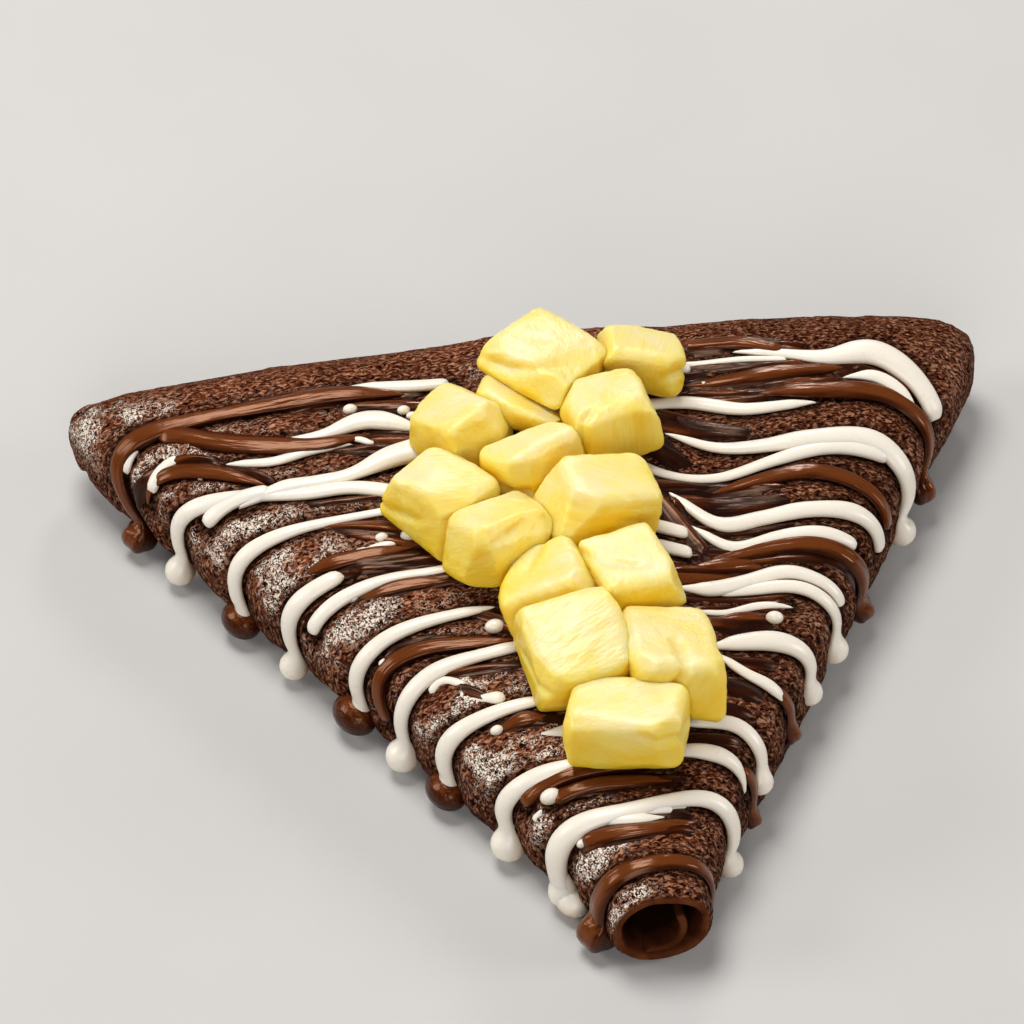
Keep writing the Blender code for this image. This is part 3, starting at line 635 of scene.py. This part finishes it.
def rope_path(line):
    """The middles of a rope's rings, on the skin and down through its bead.

    Gives the distances along it, its points, the ways outward and the fractions of the line.
    """
    start, end, distances, _, *bead = line
    fine = np.linspace(0.0, 1.0, 240)
    across, along = start + (end - start) * fine, bend(distances, fine)
    points, ways = on_chart(CHART, across, along), on_chart(CHART_OUT, across, along)
    points = points + ways * swells(points)[:, None]
    if bead:
        radius, hang = bead[0], bead_centre(end, distances[-1], bead)
        low = np.flatnonzero(points[:, 2] > hang[2] + 0.8 * radius)[-1] + 1
        points, ways, fine = points[:low], ways[:low], fine[:low]
        fall = np.linspace(0, 1, 16)[1:, None]
        outward = np.array([math.copysign(1.0, end), -0.15, 0.0])
        bottom = hang - (0.0, 0.0, BEAD_END * radius)
        falling = points[-1] + (hang - points[-1]) * fall
        turning = ways[-1] + (outward - ways[-1]) * fall
        points = np.concatenate([points, falling, hang + (bottom - hang) * fall])
        ways = np.concatenate([ways, turning, np.repeat(outward[None], 15, axis=0)])
        fine = np.concatenate([fine, np.full(30, fine[-1])])
    run = run_along(points)
    places = np.linspace(0, run[-1], max(8, int(run[-1] / FINE_STEP)))
    points = smoothed(read_at(places, run, points), 30 if bead else 6)
    ways = smoothed(read_at(places, run, ways), 30)
    part = np.interp(places, run, fine)
    count = max(9, int(places[-1] / RING_STEP))
    wanted = places[-1] * (0.5 - 0.5 * np.cos(np.linspace(0, math.pi, count)))
    wanted = 0.4 * wanted + 0.6 * np.linspace(0, places[-1], count)
    points, ways = read_at(wanted, places, points), read_at(wanted, places, ways)
    return wanted, points, ways, np.interp(wanted, places, part)


def rope(line, rise, sides, lobes, seed):
    """Rings of a rope that lies on the skin and may end in a hanging bead.

    Gives its points, how near each is to the rope's crown, and where it lies in the flow.
    """
    widths, *bead = line[3:]
    run, points, ways, part = rope_path(line)
    from_end = run[-1] - run
    width = bend(widths, part) * (1 + 0.07 * value_noise(points, 5.0, seed))
    taper = end_shape(run, widths[0], max(widths))
    if not bead:
        taper = np.minimum(taper, end_shape(from_end, widths[-1], max(widths)))
    half = width / 2 * taper
    top = rise * width * (0.3 + 0.7 * taper)
    top[[0, -1]] = 0.05
    half[[0, -1]] = 0.05
    centre_up, high = 0.40 * top, 0.60 * top
    if bead:
        radius = bead[0]
        from_middle = from_end - BEAD_END * radius
        round_part = radius * np.sqrt(np.clip(1 - (from_middle / radius) ** 2, 0, 1))
        above = np.clip(from_middle / (0.5 * radius), 0, 1)
        half = ((half * above) ** 5 + round_part**5) ** 0.2
        high = ((high * above) ** 5 + round_part**5) ** 0.2
        centre_up = centre_up * np.clip((from_end - 1.6 * radius) / (1.5 * radius), 0, 1)
        half, high, centre_up = (smoothed(values, 2) for values in (half, high, centre_up))
    ahead = np.gradient(points, axis=0)
    sideways = unit(np.cross(ahead, ways))
    upward = unit(np.cross(sideways, ahead))
    angles = np.linspace(0, 2 * math.pi, sides, endpoint=False)
    ripple = 1 + lobes * np.cos(5 * angles[None] + 2.2 * value_noise(points, 18.0, seed + 3)[:, None])
    x = half[:, None] * np.cos(angles)[None] * ripple
    z = centre_up[:, None] + high[:, None] * np.sin(angles)[None] * ripple
    rings = points[:, None] + sideways[:, None] * x[..., None] + upward[:, None] * z[..., None]
    # The crown height also darkens the ropes' sides and undersides in the materials, as painted shade.
    crown = np.repeat(0.5 + 0.5 * np.sin(angles)[None], len(rings), axis=0)
    flow = np.stack([0 * x + run[:, None] / 10, x, z + 5.0 * seed], axis=-1)
    return rings, crown, flow


def end_shape(distance, width, widest):
    """How full a rope is at this distance from its end: pointed where it thins out, else round."""
    if width < 0.8 * widest:
        return np.clip(distance / (3.0 * width), 0.0, 1.0) ** 0.6
    return np.sqrt(np.clip(1.0 - (1.0 - distance / (0.6 * width)).clip(0.0, 1.0) ** 2, 0.0, 1.0))


def ball(centre, radius, longer, ahead, sides=22, rings=14):
    """Rings of a ball that is this much longer one way.

    Gives its points, how near each is to its crown, and where it lies in the flow.
    """
    tilt = np.linspace(-0.5, 0.5, rings) * math.pi * 0.985
    turn = np.linspace(0, 2 * math.pi, sides, endpoint=False)
    x = np.cos(tilt)[:, None] * np.cos(turn)[None]
    y = np.cos(tilt)[:, None] * np.sin(turn)[None]
    z = np.repeat(np.sin(tilt)[:, None], sides, axis=1)
    points = radius * np.stack([x, y, z], axis=-1)
    ahead = unit(ahead)
    drawn_out = centre + points + (points @ ahead)[..., None] * ahead * (longer - 1.0)
    return drawn_out, 0.5 + 0.5 * z, points


def drop(across, along, radius):
    """A small drop that lies on the skin, drawn out across the crepe."""
    place, out = on_chart(CHART, across, along), on_chart(CHART_OUT, across, along)
    side = on_chart(CHART, across + 0.02, along) - place
    rise = swells(place) + bulge(across, rope_gap(np.array(across), along)) + 0.25 * radius
    return ball(place + out * rise, radius, 1.35, side, 14, 9)


def hanging_ball(side, along, radius, height):
    """A bead that hangs at the foot of the crepe, drawn out along its edge."""
    centre = bead_centre(side, along, (radius, height))
    edge = bead_centre(side, along + 4.0, (radius, height)) - centre
    return ball(centre, radius, 1.3, edge)


def tubes(name, grids, material):
    """One piece made of closed tubes, each given as rings, crown heights and flow."""
    points, crowns, flows, faces, first = [], [], [], [], 0
    for grid, crown, flow in grids:
        rows, columns = grid.shape[:2]
        points.append(grid.reshape(-1, 3))
        crowns.append(crown.ravel())
        flows.append(flow.reshape(-1, 3))
        faces += tube_faces(rows, columns, first)
        first += rows * columns
    points = np.concatenate(points)
    points[:, 2] = np.maximum(points[:, 2], 0.05)
    crowns, flows = np.concatenate(crowns), np.concatenate(flows)
    obj = new_mesh(name, points, faces, material, crown=crowns, flow=flows)
    mend_normals(obj)
    return obj


def mend_normals(obj):
    shape = bmesh.new()
    shape.from_mesh(obj.data)
    bmesh.ops.recalc_face_normals(shape, faces=shape.faces)
    shape.to_mesh(obj.data)
    shape.free()


def left_end(hoop, bead):
    """The short line that carries a hoop's left end down to a bead of its own."""
    start, end, distances, widths, *_ = hoop
    inner = start + (end - start) / (len(distances) - 1)
    return (inner, start, distances[1::-1], (widths[0], widths[0]), *bead)


def white_drizzle(material):
    lines = [*WHITE_LEFT, *WHITE_RIGHT, WHITE_HOOP, left_end(WHITE_HOOP, WHITE_LEFT_BEAD), *WHITE_THIN]
    grids = [rope(line, WHITE_HEIGHT, 20, 0.0, 20 + n) for n, line in enumerate(lines)]
    grids += [drop(*place) for place in WHITE_DROPS]
    grids += [hanging_ball(*bead) for bead in WHITE_BEADS]
    return tubes("white_drizzle", grids, material)


def milk_drizzle(material):
    lines = [*MILK_ROPES, MILK_HOOP, left_end(MILK_HOOP, MILK_LEFT_BEAD), *MILK_THIN]
    grids = [rope(line, MILK_HEIGHT, 28, 0.08, 60 + n) for n, line in enumerate(lines)]
    grids += [hanging_ball(*bead) for bead in MILK_BEADS]
    return tubes("milk_drizzle", grids, material)


def streak(line, across, along, reach):
    """How high a streak stands at each place, below 0 outside it, and how far from its middle."""
    start, end, distances, widths = line
    part = (across - start) / (end - start)
    length = abs(end - start) * reach
    width = bend(widths, part)
    aside = beside(distances, part, along, length)
    inside = (0.5 - np.abs(part - 0.5)) * length
    full = np.clip(inside / (1.2 * width), 0, 1)
    height = 1 - (aside / (width / 2)) ** 2 - (1 - full) ** 2 + np.minimum(inside, 0) / 2
    return (0.24 + 0.07 * width) * np.maximum(height, -3.0), aside


def closed_sheet(points, under, kept):
    """A sheet made of a grid's kept squares, with its underside and edges.

    Gives which of the top's and underside's points it uses, and its faces.
    """
    rows, columns = kept.shape[0] + 1, kept.shape[1] + 1
    quads = np.array(grid_faces(rows, columns, closed=False))[kept.ravel()]
    edges = np.concatenate([quads[:, [k, (k + 1) % 4]] for k in range(4)])
    twins = set(map(tuple, edges[:, ::-1].tolist()))
    border = np.array([edge for edge in edges.tolist() if tuple(edge) not in twins])
    total = rows * columns
    sides = np.stack([border[:, 1], border[:, 0], border[:, 0] + total, border[:, 1] + total], axis=-1)
    faces = np.concatenate([quads, quads[:, ::-1] + total, sides])
    used, faces = np.unique(faces, return_inverse=True)
    both = np.concatenate([points.reshape(-1, 3), under.reshape(-1, 3)])
    return used, both[used], faces.reshape(-1, 4).tolist()


def sauce_film(material):
    """The thin sauce, as one sheet that follows the crepe and rises in streaks."""
    across, along = np.meshgrid(np.linspace(-0.86, 0.80, 320), np.arange(9.0, 123.5, 0.32))
    reach = np.interp(along, CHART_ALONG, CHART_REACH)
    height, aside = np.full(across.shape, -3.0), np.zeros(across.shape)
    number = np.zeros(across.shape)
    for index, line in enumerate(SAUCE_STREAKS):
        rise, off = streak(line, across, along, reach)
        higher = rise > height
        height = np.where(higher, rise, height)
        aside = np.where(higher, off, aside)
        number = np.where(higher, index, number)
    flow = np.stack([across * reach / 10.0, aside, 3.0 * number], axis=-1)
    cords = np.abs(lumpy(flow, CORDS, 12)) + np.abs(lumpy(flow, FINE_CORDS, 13))
    height = np.maximum(height, FILM_FLOOR) + cords - FILM_SINK
    places, out = on_chart(CHART, across, along), on_chart(CHART_OUT, across, along)
    lift = swells(places) + bulge(across, rope_gap(across, along)) + height
    corners = np.stack([height[:-1, :-1], height[1:, :-1], height[:-1, 1:], height[1:, 1:]])
    top = places + out * lift[..., None]
    under = places + out * np.minimum(lift - 0.3, -0.6)[..., None]
    used, points, faces = closed_sheet(top, under, corners.max(axis=0) > 0.0)
    # A low crown between the cords and at the thin edges paints the film darker there, as shade.
    crown = np.clip(0.26 + 1.6 * (cords - 0.12), 0, 1) * np.clip(height / 0.25, 0.2, 1)
    crown = np.tile(crown.ravel(), 2)[used]
    flow = np.tile(flow.reshape(-1, 3), (2, 1))[used]
    obj = new_mesh("sauce_film", points, faces, material, crown=crown, flow=flow)
    mend_normals(obj)
    return obj


def with_modifier(mesh, kind, **settings):
    """The mesh with one modifier applied."""
    obj = show("working", mesh)
    modifier = obj.modifiers.new(kind.title(), kind)
    for key, value in settings.items():
        setattr(modifier, key, value)
    bpy.context.view_layer.update()
    result = bpy.data.meshes.new_from_object(obj.evaluated_get(bpy.context.evaluated_depsgraph_get()))
    bpy.data.objects.remove(obj)
    return result


def read_vectors(mesh, key):
    values = np.empty(len(mesh.vertices) * 3)
    mesh.vertices.foreach_get(key, values)
    return values.reshape(-1, 3)


def shaved(points, draw):
    """Knife cuts: flat facets at random corners and edges of the piece."""
    for _ in range(CUTS):
        way = unit(draw.normal(size=3) * (1.0, 1.0, 0.8))
        beyond = points @ way - ((points @ way).max() - draw.uniform(LEAST_CUT, DEEPEST_CUT))
        points = points - way * np.maximum(beyond, 0.0)[:, None]
    return points


def pineapple_piece(name, material, seed):
    """The node's shape with knife cuts, folds between its segments and fibres."""
    mesh = with_modifier(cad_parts[name].data.copy(), "REMESH", mode="VOXEL", voxel_size=0.0005)
    draw = np.random.default_rng(seed)
    points = read_vectors(mesh, "co") * 1000
    middle = points.mean(axis=0)
    growth, forward = ODD_GROWTH.get(name, (PIECE_GROWTH, 0.0))
    points = shaved(middle + (points - middle) * growth - [0, forward, 0], draw)
    mesh.vertices.foreach_set("co", (points * 0.001).ravel())
    mesh = with_modifier(mesh, "SMOOTH", factor=0.5, iterations=9)
    points, normals = read_vectors(mesh, "co") * 1000, read_vectors(mesh, "normal")
    fibre = unit(draw.normal(size=3) * (1, 1, 0.4))
    second = unit(np.cross(fibre, (0.1, 0.2, 1.0)))
    third = np.cross(fibre, second)
    local = np.stack([points @ fibre / 9.0, points @ second, points @ third], axis=-1)
    strands = lumpy(local, STRANDS, seed) + lumpy(local, FINE_STRANDS, seed + 1)
    dents = lumpy(points, DENTS, seed + 2) + lumpy(points, FINE_DENTS, seed + 3)
    fold = (points - middle) @ third - draw.uniform(-3.0, 3.0) + 1.2 * value_noise(points, 7.0, seed + 4)
    crease = FOLD_DEPTH * np.exp(-((fold / FOLD_WIDTH) ** 2))
    crease = crease * np.clip(2 * value_noise(points, 8.0, seed + 5), 0, 1)
    points = points + normals * (strands + dents - crease + 0.2)[:, None]
    points[:, 2] = np.maximum(points[:, 2], 0.0)
    mesh.vertices.foreach_set("co", (points * 0.001).ravel())
    mesh.update()
    mesh.materials.clear()
    mesh.materials.append(material)
    low, high = points[:, 2].min(), points[:, 2].max()
    # Painted light and shade: higher and upward-facing places are paler, lower ones deeper golden.
    upward = np.clip(read_vectors(mesh, "normal")[:, 2], 0, 1)
    add_attribute(mesh, "painted_top_light", 0.4 * (points[:, 2] - low) / (high - low) + 0.6 * upward)
    add_attribute(mesh, "fibre", local)
    mesh.shade_smooth()
    return show(name.replace("pineapple", "pineapple_piece"), mesh)


class Nodes:
    """Short ways to make and join a material's nodes."""

    def __init__(self, name):
        self.material = bpy.data.materials.new(name)
        self.material.use_nodes = True
        self.tree = self.material.node_tree
        self.shader = self.tree.nodes["Principled BSDF"]
        self.place = self.add("ShaderNodeTexCoord").outputs["Object"]

    def add(self, kind, **values):
        node = self.tree.nodes.new(kind)
        for key, value in values.items():
            setattr(node, key, value)
        return node

    def join(self, out, socket):
        self.tree.links.new(out, socket)

    def feed(self, label, out):
        self.join(out, self.shader.inputs[label])

    def noise(self, size, detail=2.0, distortion=0.0, stretch=(1, 1, 1), place=None):
        """Noise with lumps about this many millimetres across.

        The place is the name of an attribute in millimetres, or None for the object's own metres.
        """
        mapping = self.add("ShaderNodeMapping")
        unit = 1.0 if place else 1000.0
        mapping.inputs["Scale"].default_value = tuple(unit / (size * s) for s in stretch)
        source = self.place
        if place:
            source = self.add("ShaderNodeAttribute", attribute_name=place).outputs["Vector"]
        self.join(source, mapping.inputs["Vector"])
        node = self.add("ShaderNodeTexNoise")
        node.inputs["Scale"].default_value = 1.0
        node.inputs["Detail"].default_value = detail
        node.inputs["Distortion"].default_value = distortion
        self.join(mapping.outputs["Vector"], node.inputs["Vector"])
        return node.outputs["Fac"]

    def ramp(self, out, *stops):
        """Maps a value to the stops' colours; each stop is (place, colour or grey)."""
        node = self.add("ShaderNodeValToRGB")
        elements = node.color_ramp.elements
        for index, (place, colour) in enumerate(stops):
            element = elements[index] if index < 2 else elements.new(place)
            element.position = place
            if isinstance(colour, (int, float)):
                colour = (colour, colour, colour)
            element.color = (*colour, 1.0)
        self.join(out, node.inputs["Fac"])
        return node.outputs["Color"]

    def give(self, value, socket):
        """Joins an output to a socket, or sets the socket to a number or a colour."""
        if isinstance(value, bpy.types.NodeSocket):
            self.join(value, socket)
        elif isinstance(value, (int, float)):
            socket.default_value = value
        else:
            socket.default_value = (*value, 1.0)

    def mix(self, factor, first, second, how="MIX"):
        node = self.add("ShaderNodeMix", data_type="RGBA", blend_type=how)
        for value, label in ((factor, "Factor"), (first, "A"), (second, "B")):
            self.give(value, node.inputs[label])
        return node.outputs["Result"]

    def math(self, operation, first, second):
        node = self.add("ShaderNodeMath", operation=operation)
        self.give(first, node.inputs[0])
        self.give(second, node.inputs[1])
        return node.outputs["Value"]

    def attribute(self, name):
        return self.add("ShaderNodeAttribute", attribute_name=name).outputs["Fac"]

    def bump(self, height, distance):
        """Raises the surface by a height from 0 to 1 times this many millimetres."""
        node = self.add("ShaderNodeBump")
        node.inputs["Distance"].default_value = distance * 0.001
        self.join(height, node.inputs["Height"])
        self.feed("Normal", node.outputs["Normal"])

    def set(self, **values):
        for key, value in values.items():
            self.shader.inputs[key.replace("_", " ")].default_value = value


def crepe_material():
    nodes = Nodes("crepe")
    broad = nodes.ramp(nodes.noise(8.0, 3.0), (0.3, (0.60, 0.52, 0.46)), (0.7, (1.05, 1.0, 1.0)))
    grain = nodes.noise(0.50, 3.0, 0.8, (2.0, 1.0, 1.0), "grain")
    crumb = nodes.ramp(
        grain,
        (0.38, (0.008, 0.0006, 0.0002)),
        (0.46, (0.090, 0.020, 0.0058)),
        (0.55, (0.205, 0.066, 0.026)),
        (0.64, (0.52, 0.28, 0.17)),
    )
    base = nodes.mix(1.0, crumb, broad, "MULTIPLY")
    # Painted shade: the crepe is darkened near the ropes, as sauce soak and as contact shade where they
    # meet it.
    gap = nodes.math("MULTIPLY", nodes.attribute("gap"), 0.25)
    soak_and_shade = nodes.ramp(gap, (0.0, 0.18), (0.25, 0.66), (0.75, 1.0))
    base = nodes.mix(1.0, base, soak_and_shade, "MULTIPLY")
    # Painted shade: the crepe darkens towards the floor, to 0.4 of its colour below about 2 mm, full
    # above about 15 mm.
    height = nodes.add("ShaderNodeSeparateXYZ")
    nodes.join(nodes.place, height.inputs["Vector"])
    height = nodes.math("MULTIPLY", height.outputs["Z"], 50.0)
    base = nodes.mix(1.0, base, nodes.ramp(height, (0.10, 0.40), (0.75, 1.0)), "MULTIPLY")
    patches = nodes.ramp(nodes.noise(5.5, 2.0), (0.34, 0.0), (0.54, 1.0))
    patches = nodes.math("MULTIPLY", patches, nodes.ramp(gap, (0.12, 0.0), (0.45, 1.0)))
    dust = nodes.math("MULTIPLY", nodes.attribute("dust"), patches)
    dust_and_glint_specks = nodes.math("ADD", nodes.noise(0.50, 2.0, 1.2), nodes.math("MULTIPLY", dust, 0.13))
    dust_and_glint_specks = nodes.math("MULTIPLY", nodes.ramp(dust_and_glint_specks, (0.60, 0.0), (0.67, 1.0)), dust)
    # Pale specks: a dusting that is also painted glints on the shoulders that face the lamps.
    base = nodes.mix(dust_and_glint_specks, base, (0.88, 0.79, 0.68))
    inside = nodes.ramp(nodes.noise(3.0), (0.3, (0.060, 0.013, 0.0040)), (0.7, (0.130, 0.036, 0.011)))
    rim = nodes.attribute("rim")
    # Painted shade: the hollow of the tip and the curl grow darker with depth.
    depth = nodes.ramp(nodes.math("MULTIPLY", rim, 0.5), (0.5, 1.0), (0.61, 0.15))
    inside = nodes.mix(1.0, inside, depth, "MULTIPLY")
    nodes.feed("Base Color", nodes.mix(rim, base, inside))
    nodes.feed("Roughness", nodes.ramp(grain, (0.35, 0.80), (0.65, 0.55)))
    raised = nodes.math("ADD", nodes.math("MULTIPLY", grain, 0.7), nodes.math("MULTIPLY", dust_and_glint_specks, 0.2))
    nodes.bump(nodes.math("MULTIPLY", raised, nodes.ramp(rim, (0.0, 1.0), (1.0, 0.1))), 0.6)
    nodes.set(Specular_IOR_Level=0.04)
    return nodes.material


def white_material():
    nodes = Nodes("white_chocolate")
    uneven = nodes.math("MULTIPLY", nodes.noise(3.0, 2.0), 0.12)
    crown = nodes.math("ADD", nodes.attribute("crown"), uneven)
    # Painted shade: brownish on the rope's lower sides and underside, cream on its crown.
    base = nodes.ramp(
        crown,
        (0.26, (0.38, 0.23, 0.13)),
        (0.48, (0.70, 0.585, 0.455)),
        (0.80, (0.83, 0.765, 0.665)),
    )
    nodes.feed("Base Color", base)
    nodes.feed("Roughness", nodes.ramp(nodes.noise(2.0), (0.3, 0.26), (0.7, 0.36)))
    nodes.bump(nodes.noise(1.8, 2.0), 0.06)
    nodes.set(Subsurface_Weight=0.2, Subsurface_Radius=(1.0, 0.75, 0.5), Subsurface_Scale=0.001)
    return nodes.material


def milk_material():
    nodes = Nodes("milk_chocolate")
    streaks = nodes.noise(0.9, 3.0, 0.4, place="flow")
    # Painted shade: the sauce is darker on the ropes' sides and undersides and in the film's grooves,
    # where the crown is low.
    tone = nodes.math("ADD", nodes.attribute("crown"), nodes.math("MULTIPLY", streaks, 0.6))
    tone = nodes.math("MULTIPLY", tone, 0.8)
    base = nodes.ramp(
        tone,
        (0.50, (0.010, 0.0010, 0.0002)),
        (0.84, (0.046, 0.0082, 0.0016)),
        (1.00, (0.125, 0.0320, 0.0072)),
    )
    nodes.feed("Base Color", base)
    smooth = nodes.math("ADD", nodes.attribute("crown"), nodes.noise(2.5))
    rough = nodes.ramp(nodes.math("MULTIPLY", smooth, 0.5), (0.40, 0.32), (0.72, 0.14))
    nodes.feed("Roughness", rough)
    nodes.bump(nodes.noise(0.75, 2.0, 0.3, place="flow"), 0.16)
    nodes.set(Specular_IOR_Level=0.38, Specular_Tint=(1.0, 0.58, 0.38, 1.0))
    return nodes.material


def pineapple_material():
    nodes = Nodes("pineapple")
    patch = nodes.math("MULTIPLY", nodes.noise(7.0, 1.0, 0.2), 0.55)
    strands = nodes.math("MULTIPLY", nodes.noise(0.7, 3.0, 0.2, place="fibre"), 0.25)
    # The painted light from above makes the tops paler and the lower sides deeper golden.
    tone = nodes.math("ADD", nodes.math("MULTIPLY", nodes.attribute("painted_top_light"), 0.55), patch)
    tone = nodes.math("MULTIPLY", nodes.math("ADD", tone, strands), 0.8)
    base = nodes.ramp(
        tone,
        (0.38, (0.85, 0.57, 0.022)),
        (0.52, (0.86, 0.66, 0.100)),
        (0.66, (0.84, 0.69, 0.21)),
        (0.82, (0.84, 0.725, 0.40)),
    )
    nodes.feed("Base Color", base)
    nodes.feed("Roughness", nodes.ramp(nodes.noise(1.2), (0.3, 0.28), (0.7, 0.44)))
    nodes.bump(nodes.noise(0.55, 3.0, 0.2, place="fibre"), 0.14)
    nodes.set(Subsurface_Weight=0.65, Subsurface_Radius=(1.0, 0.66, 0.10), Subsurface_Scale=0.0035)
    return nodes.material


def floor_material():
    nodes = Nodes("floor")
    base = nodes.ramp(nodes.noise(60.0), (0.3, (0.52, 0.51, 0.50)), (0.7, (0.54, 0.53, 0.52)))
    nodes.feed("Base Color", base)
    nodes.set(Roughness=0.9)
    return nodes.material


def make_floor():
    reach = 2.5
    mesh = bpy.data.meshes.new("floor")
    corners = [(-reach, -reach, 0), (reach, -reach, 0), (reach, reach, 0), (-reach, reach, 0)]
    mesh.from_pydata(corners, [], [(0, 1, 2, 3)])
    mesh.materials.append(floor_material())
    floor = show("floor", mesh)
    floor.location.z = -0.0003


def make_camera():
    turn, lift, roll = (math.radians(a) for a in (CAMERA_AZIMUTH, CAMERA_ELEVATION, CAMERA_ROLL))
    back = Vector((math.sin(turn) * math.cos(lift), -math.cos(turn) * math.cos(lift), math.sin(lift)))
    right = Vector((math.cos(turn), math.sin(turn), 0.0))
    up = back.cross(right)
    tilted_right = right * math.cos(roll) + up * math.sin(roll)
    tilted_up = up * math.cos(roll) - right * math.sin(roll)
    data = bpy.data.cameras.new("camera")
    data.sensor_width = SENSOR
    data.lens = FOCAL_PIXELS * SENSOR / IMAGE_PIXELS
    data.clip_start, data.clip_end = 0.05, 20.0
    camera = show("camera", data)
    axes = Matrix((tilted_right, tilted_up, back)).transposed().to_4x4()
    place = (Vector(CAMERA_TARGET) + back * CAMERA_DISTANCE) * 0.001
    camera.matrix_world = Matrix.Translation(place) @ axes
    bpy.context.scene.camera = camera


def area_light(name, place, size, power, colour):
    data = bpy.data.lights.new(name, "AREA")
    data.shape = "DISK"
    data.size = size
    data.energy = power
    data.color = colour
    light = show(name, data)
    light.location = place
    light.rotation_euler = (Vector((0, 0, 0.01)) - Vector(place)).to_track_quat("-Z", "Y").to_euler()


def make_lights():
    area_light("left", (-0.90, 0.15, 0.50), 0.45, 3.7, (1.0, 0.98, 0.95))
    area_light("top", (-0.15, 0.30, 0.95), 0.50, 7.9, (1.0, 0.99, 0.97))
    area_light("right", (0.90, -0.20, 0.40), 0.40, 3.2, (1.0, 0.97, 0.94))
    area_light("front", (-0.20, -0.90, 0.50), 0.60, 3.9, (1.0, 0.98, 0.96))
    area_light("back", (0.30, 0.90, 0.62), 0.22, 2.4, (1.0, 0.97, 0.93))
    world = bpy.data.worlds.new("studio")
    world.use_nodes = True
    background = world.node_tree.nodes["Background"]
    background.inputs["Color"].default_value = (0.95, 0.97, 1.0, 1.0)
    background.inputs["Strength"].default_value = 0.08
    bpy.context.scene.world = world
    bpy.context.scene.view_settings.view_transform = "Standard"


def make_object():
    brown, white = crepe_material(), white_material()
    milk, yellow = milk_material(), pineapple_material()
    body = crepe_body(brown)
    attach(body, "root")
    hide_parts("crepe")
    for piece, slot in (
        (curl(brown), "crepe"),
        (white_drizzle(white), "white_chocolate"),
        (milk_drizzle(milk), "milk_chocolate"),
        (sauce_film(milk), "milk_chocolate"),
    ):
        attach(piece, "root")
    for number in range(1, PIECES + 1):
        node = f"pineapple_{number:02d}"
        piece = pineapple_piece(node, yellow, 100 + 7 * number)
        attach(piece, "root")
        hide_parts(node)


make_object()
make_floor()
make_camera()
make_lights()
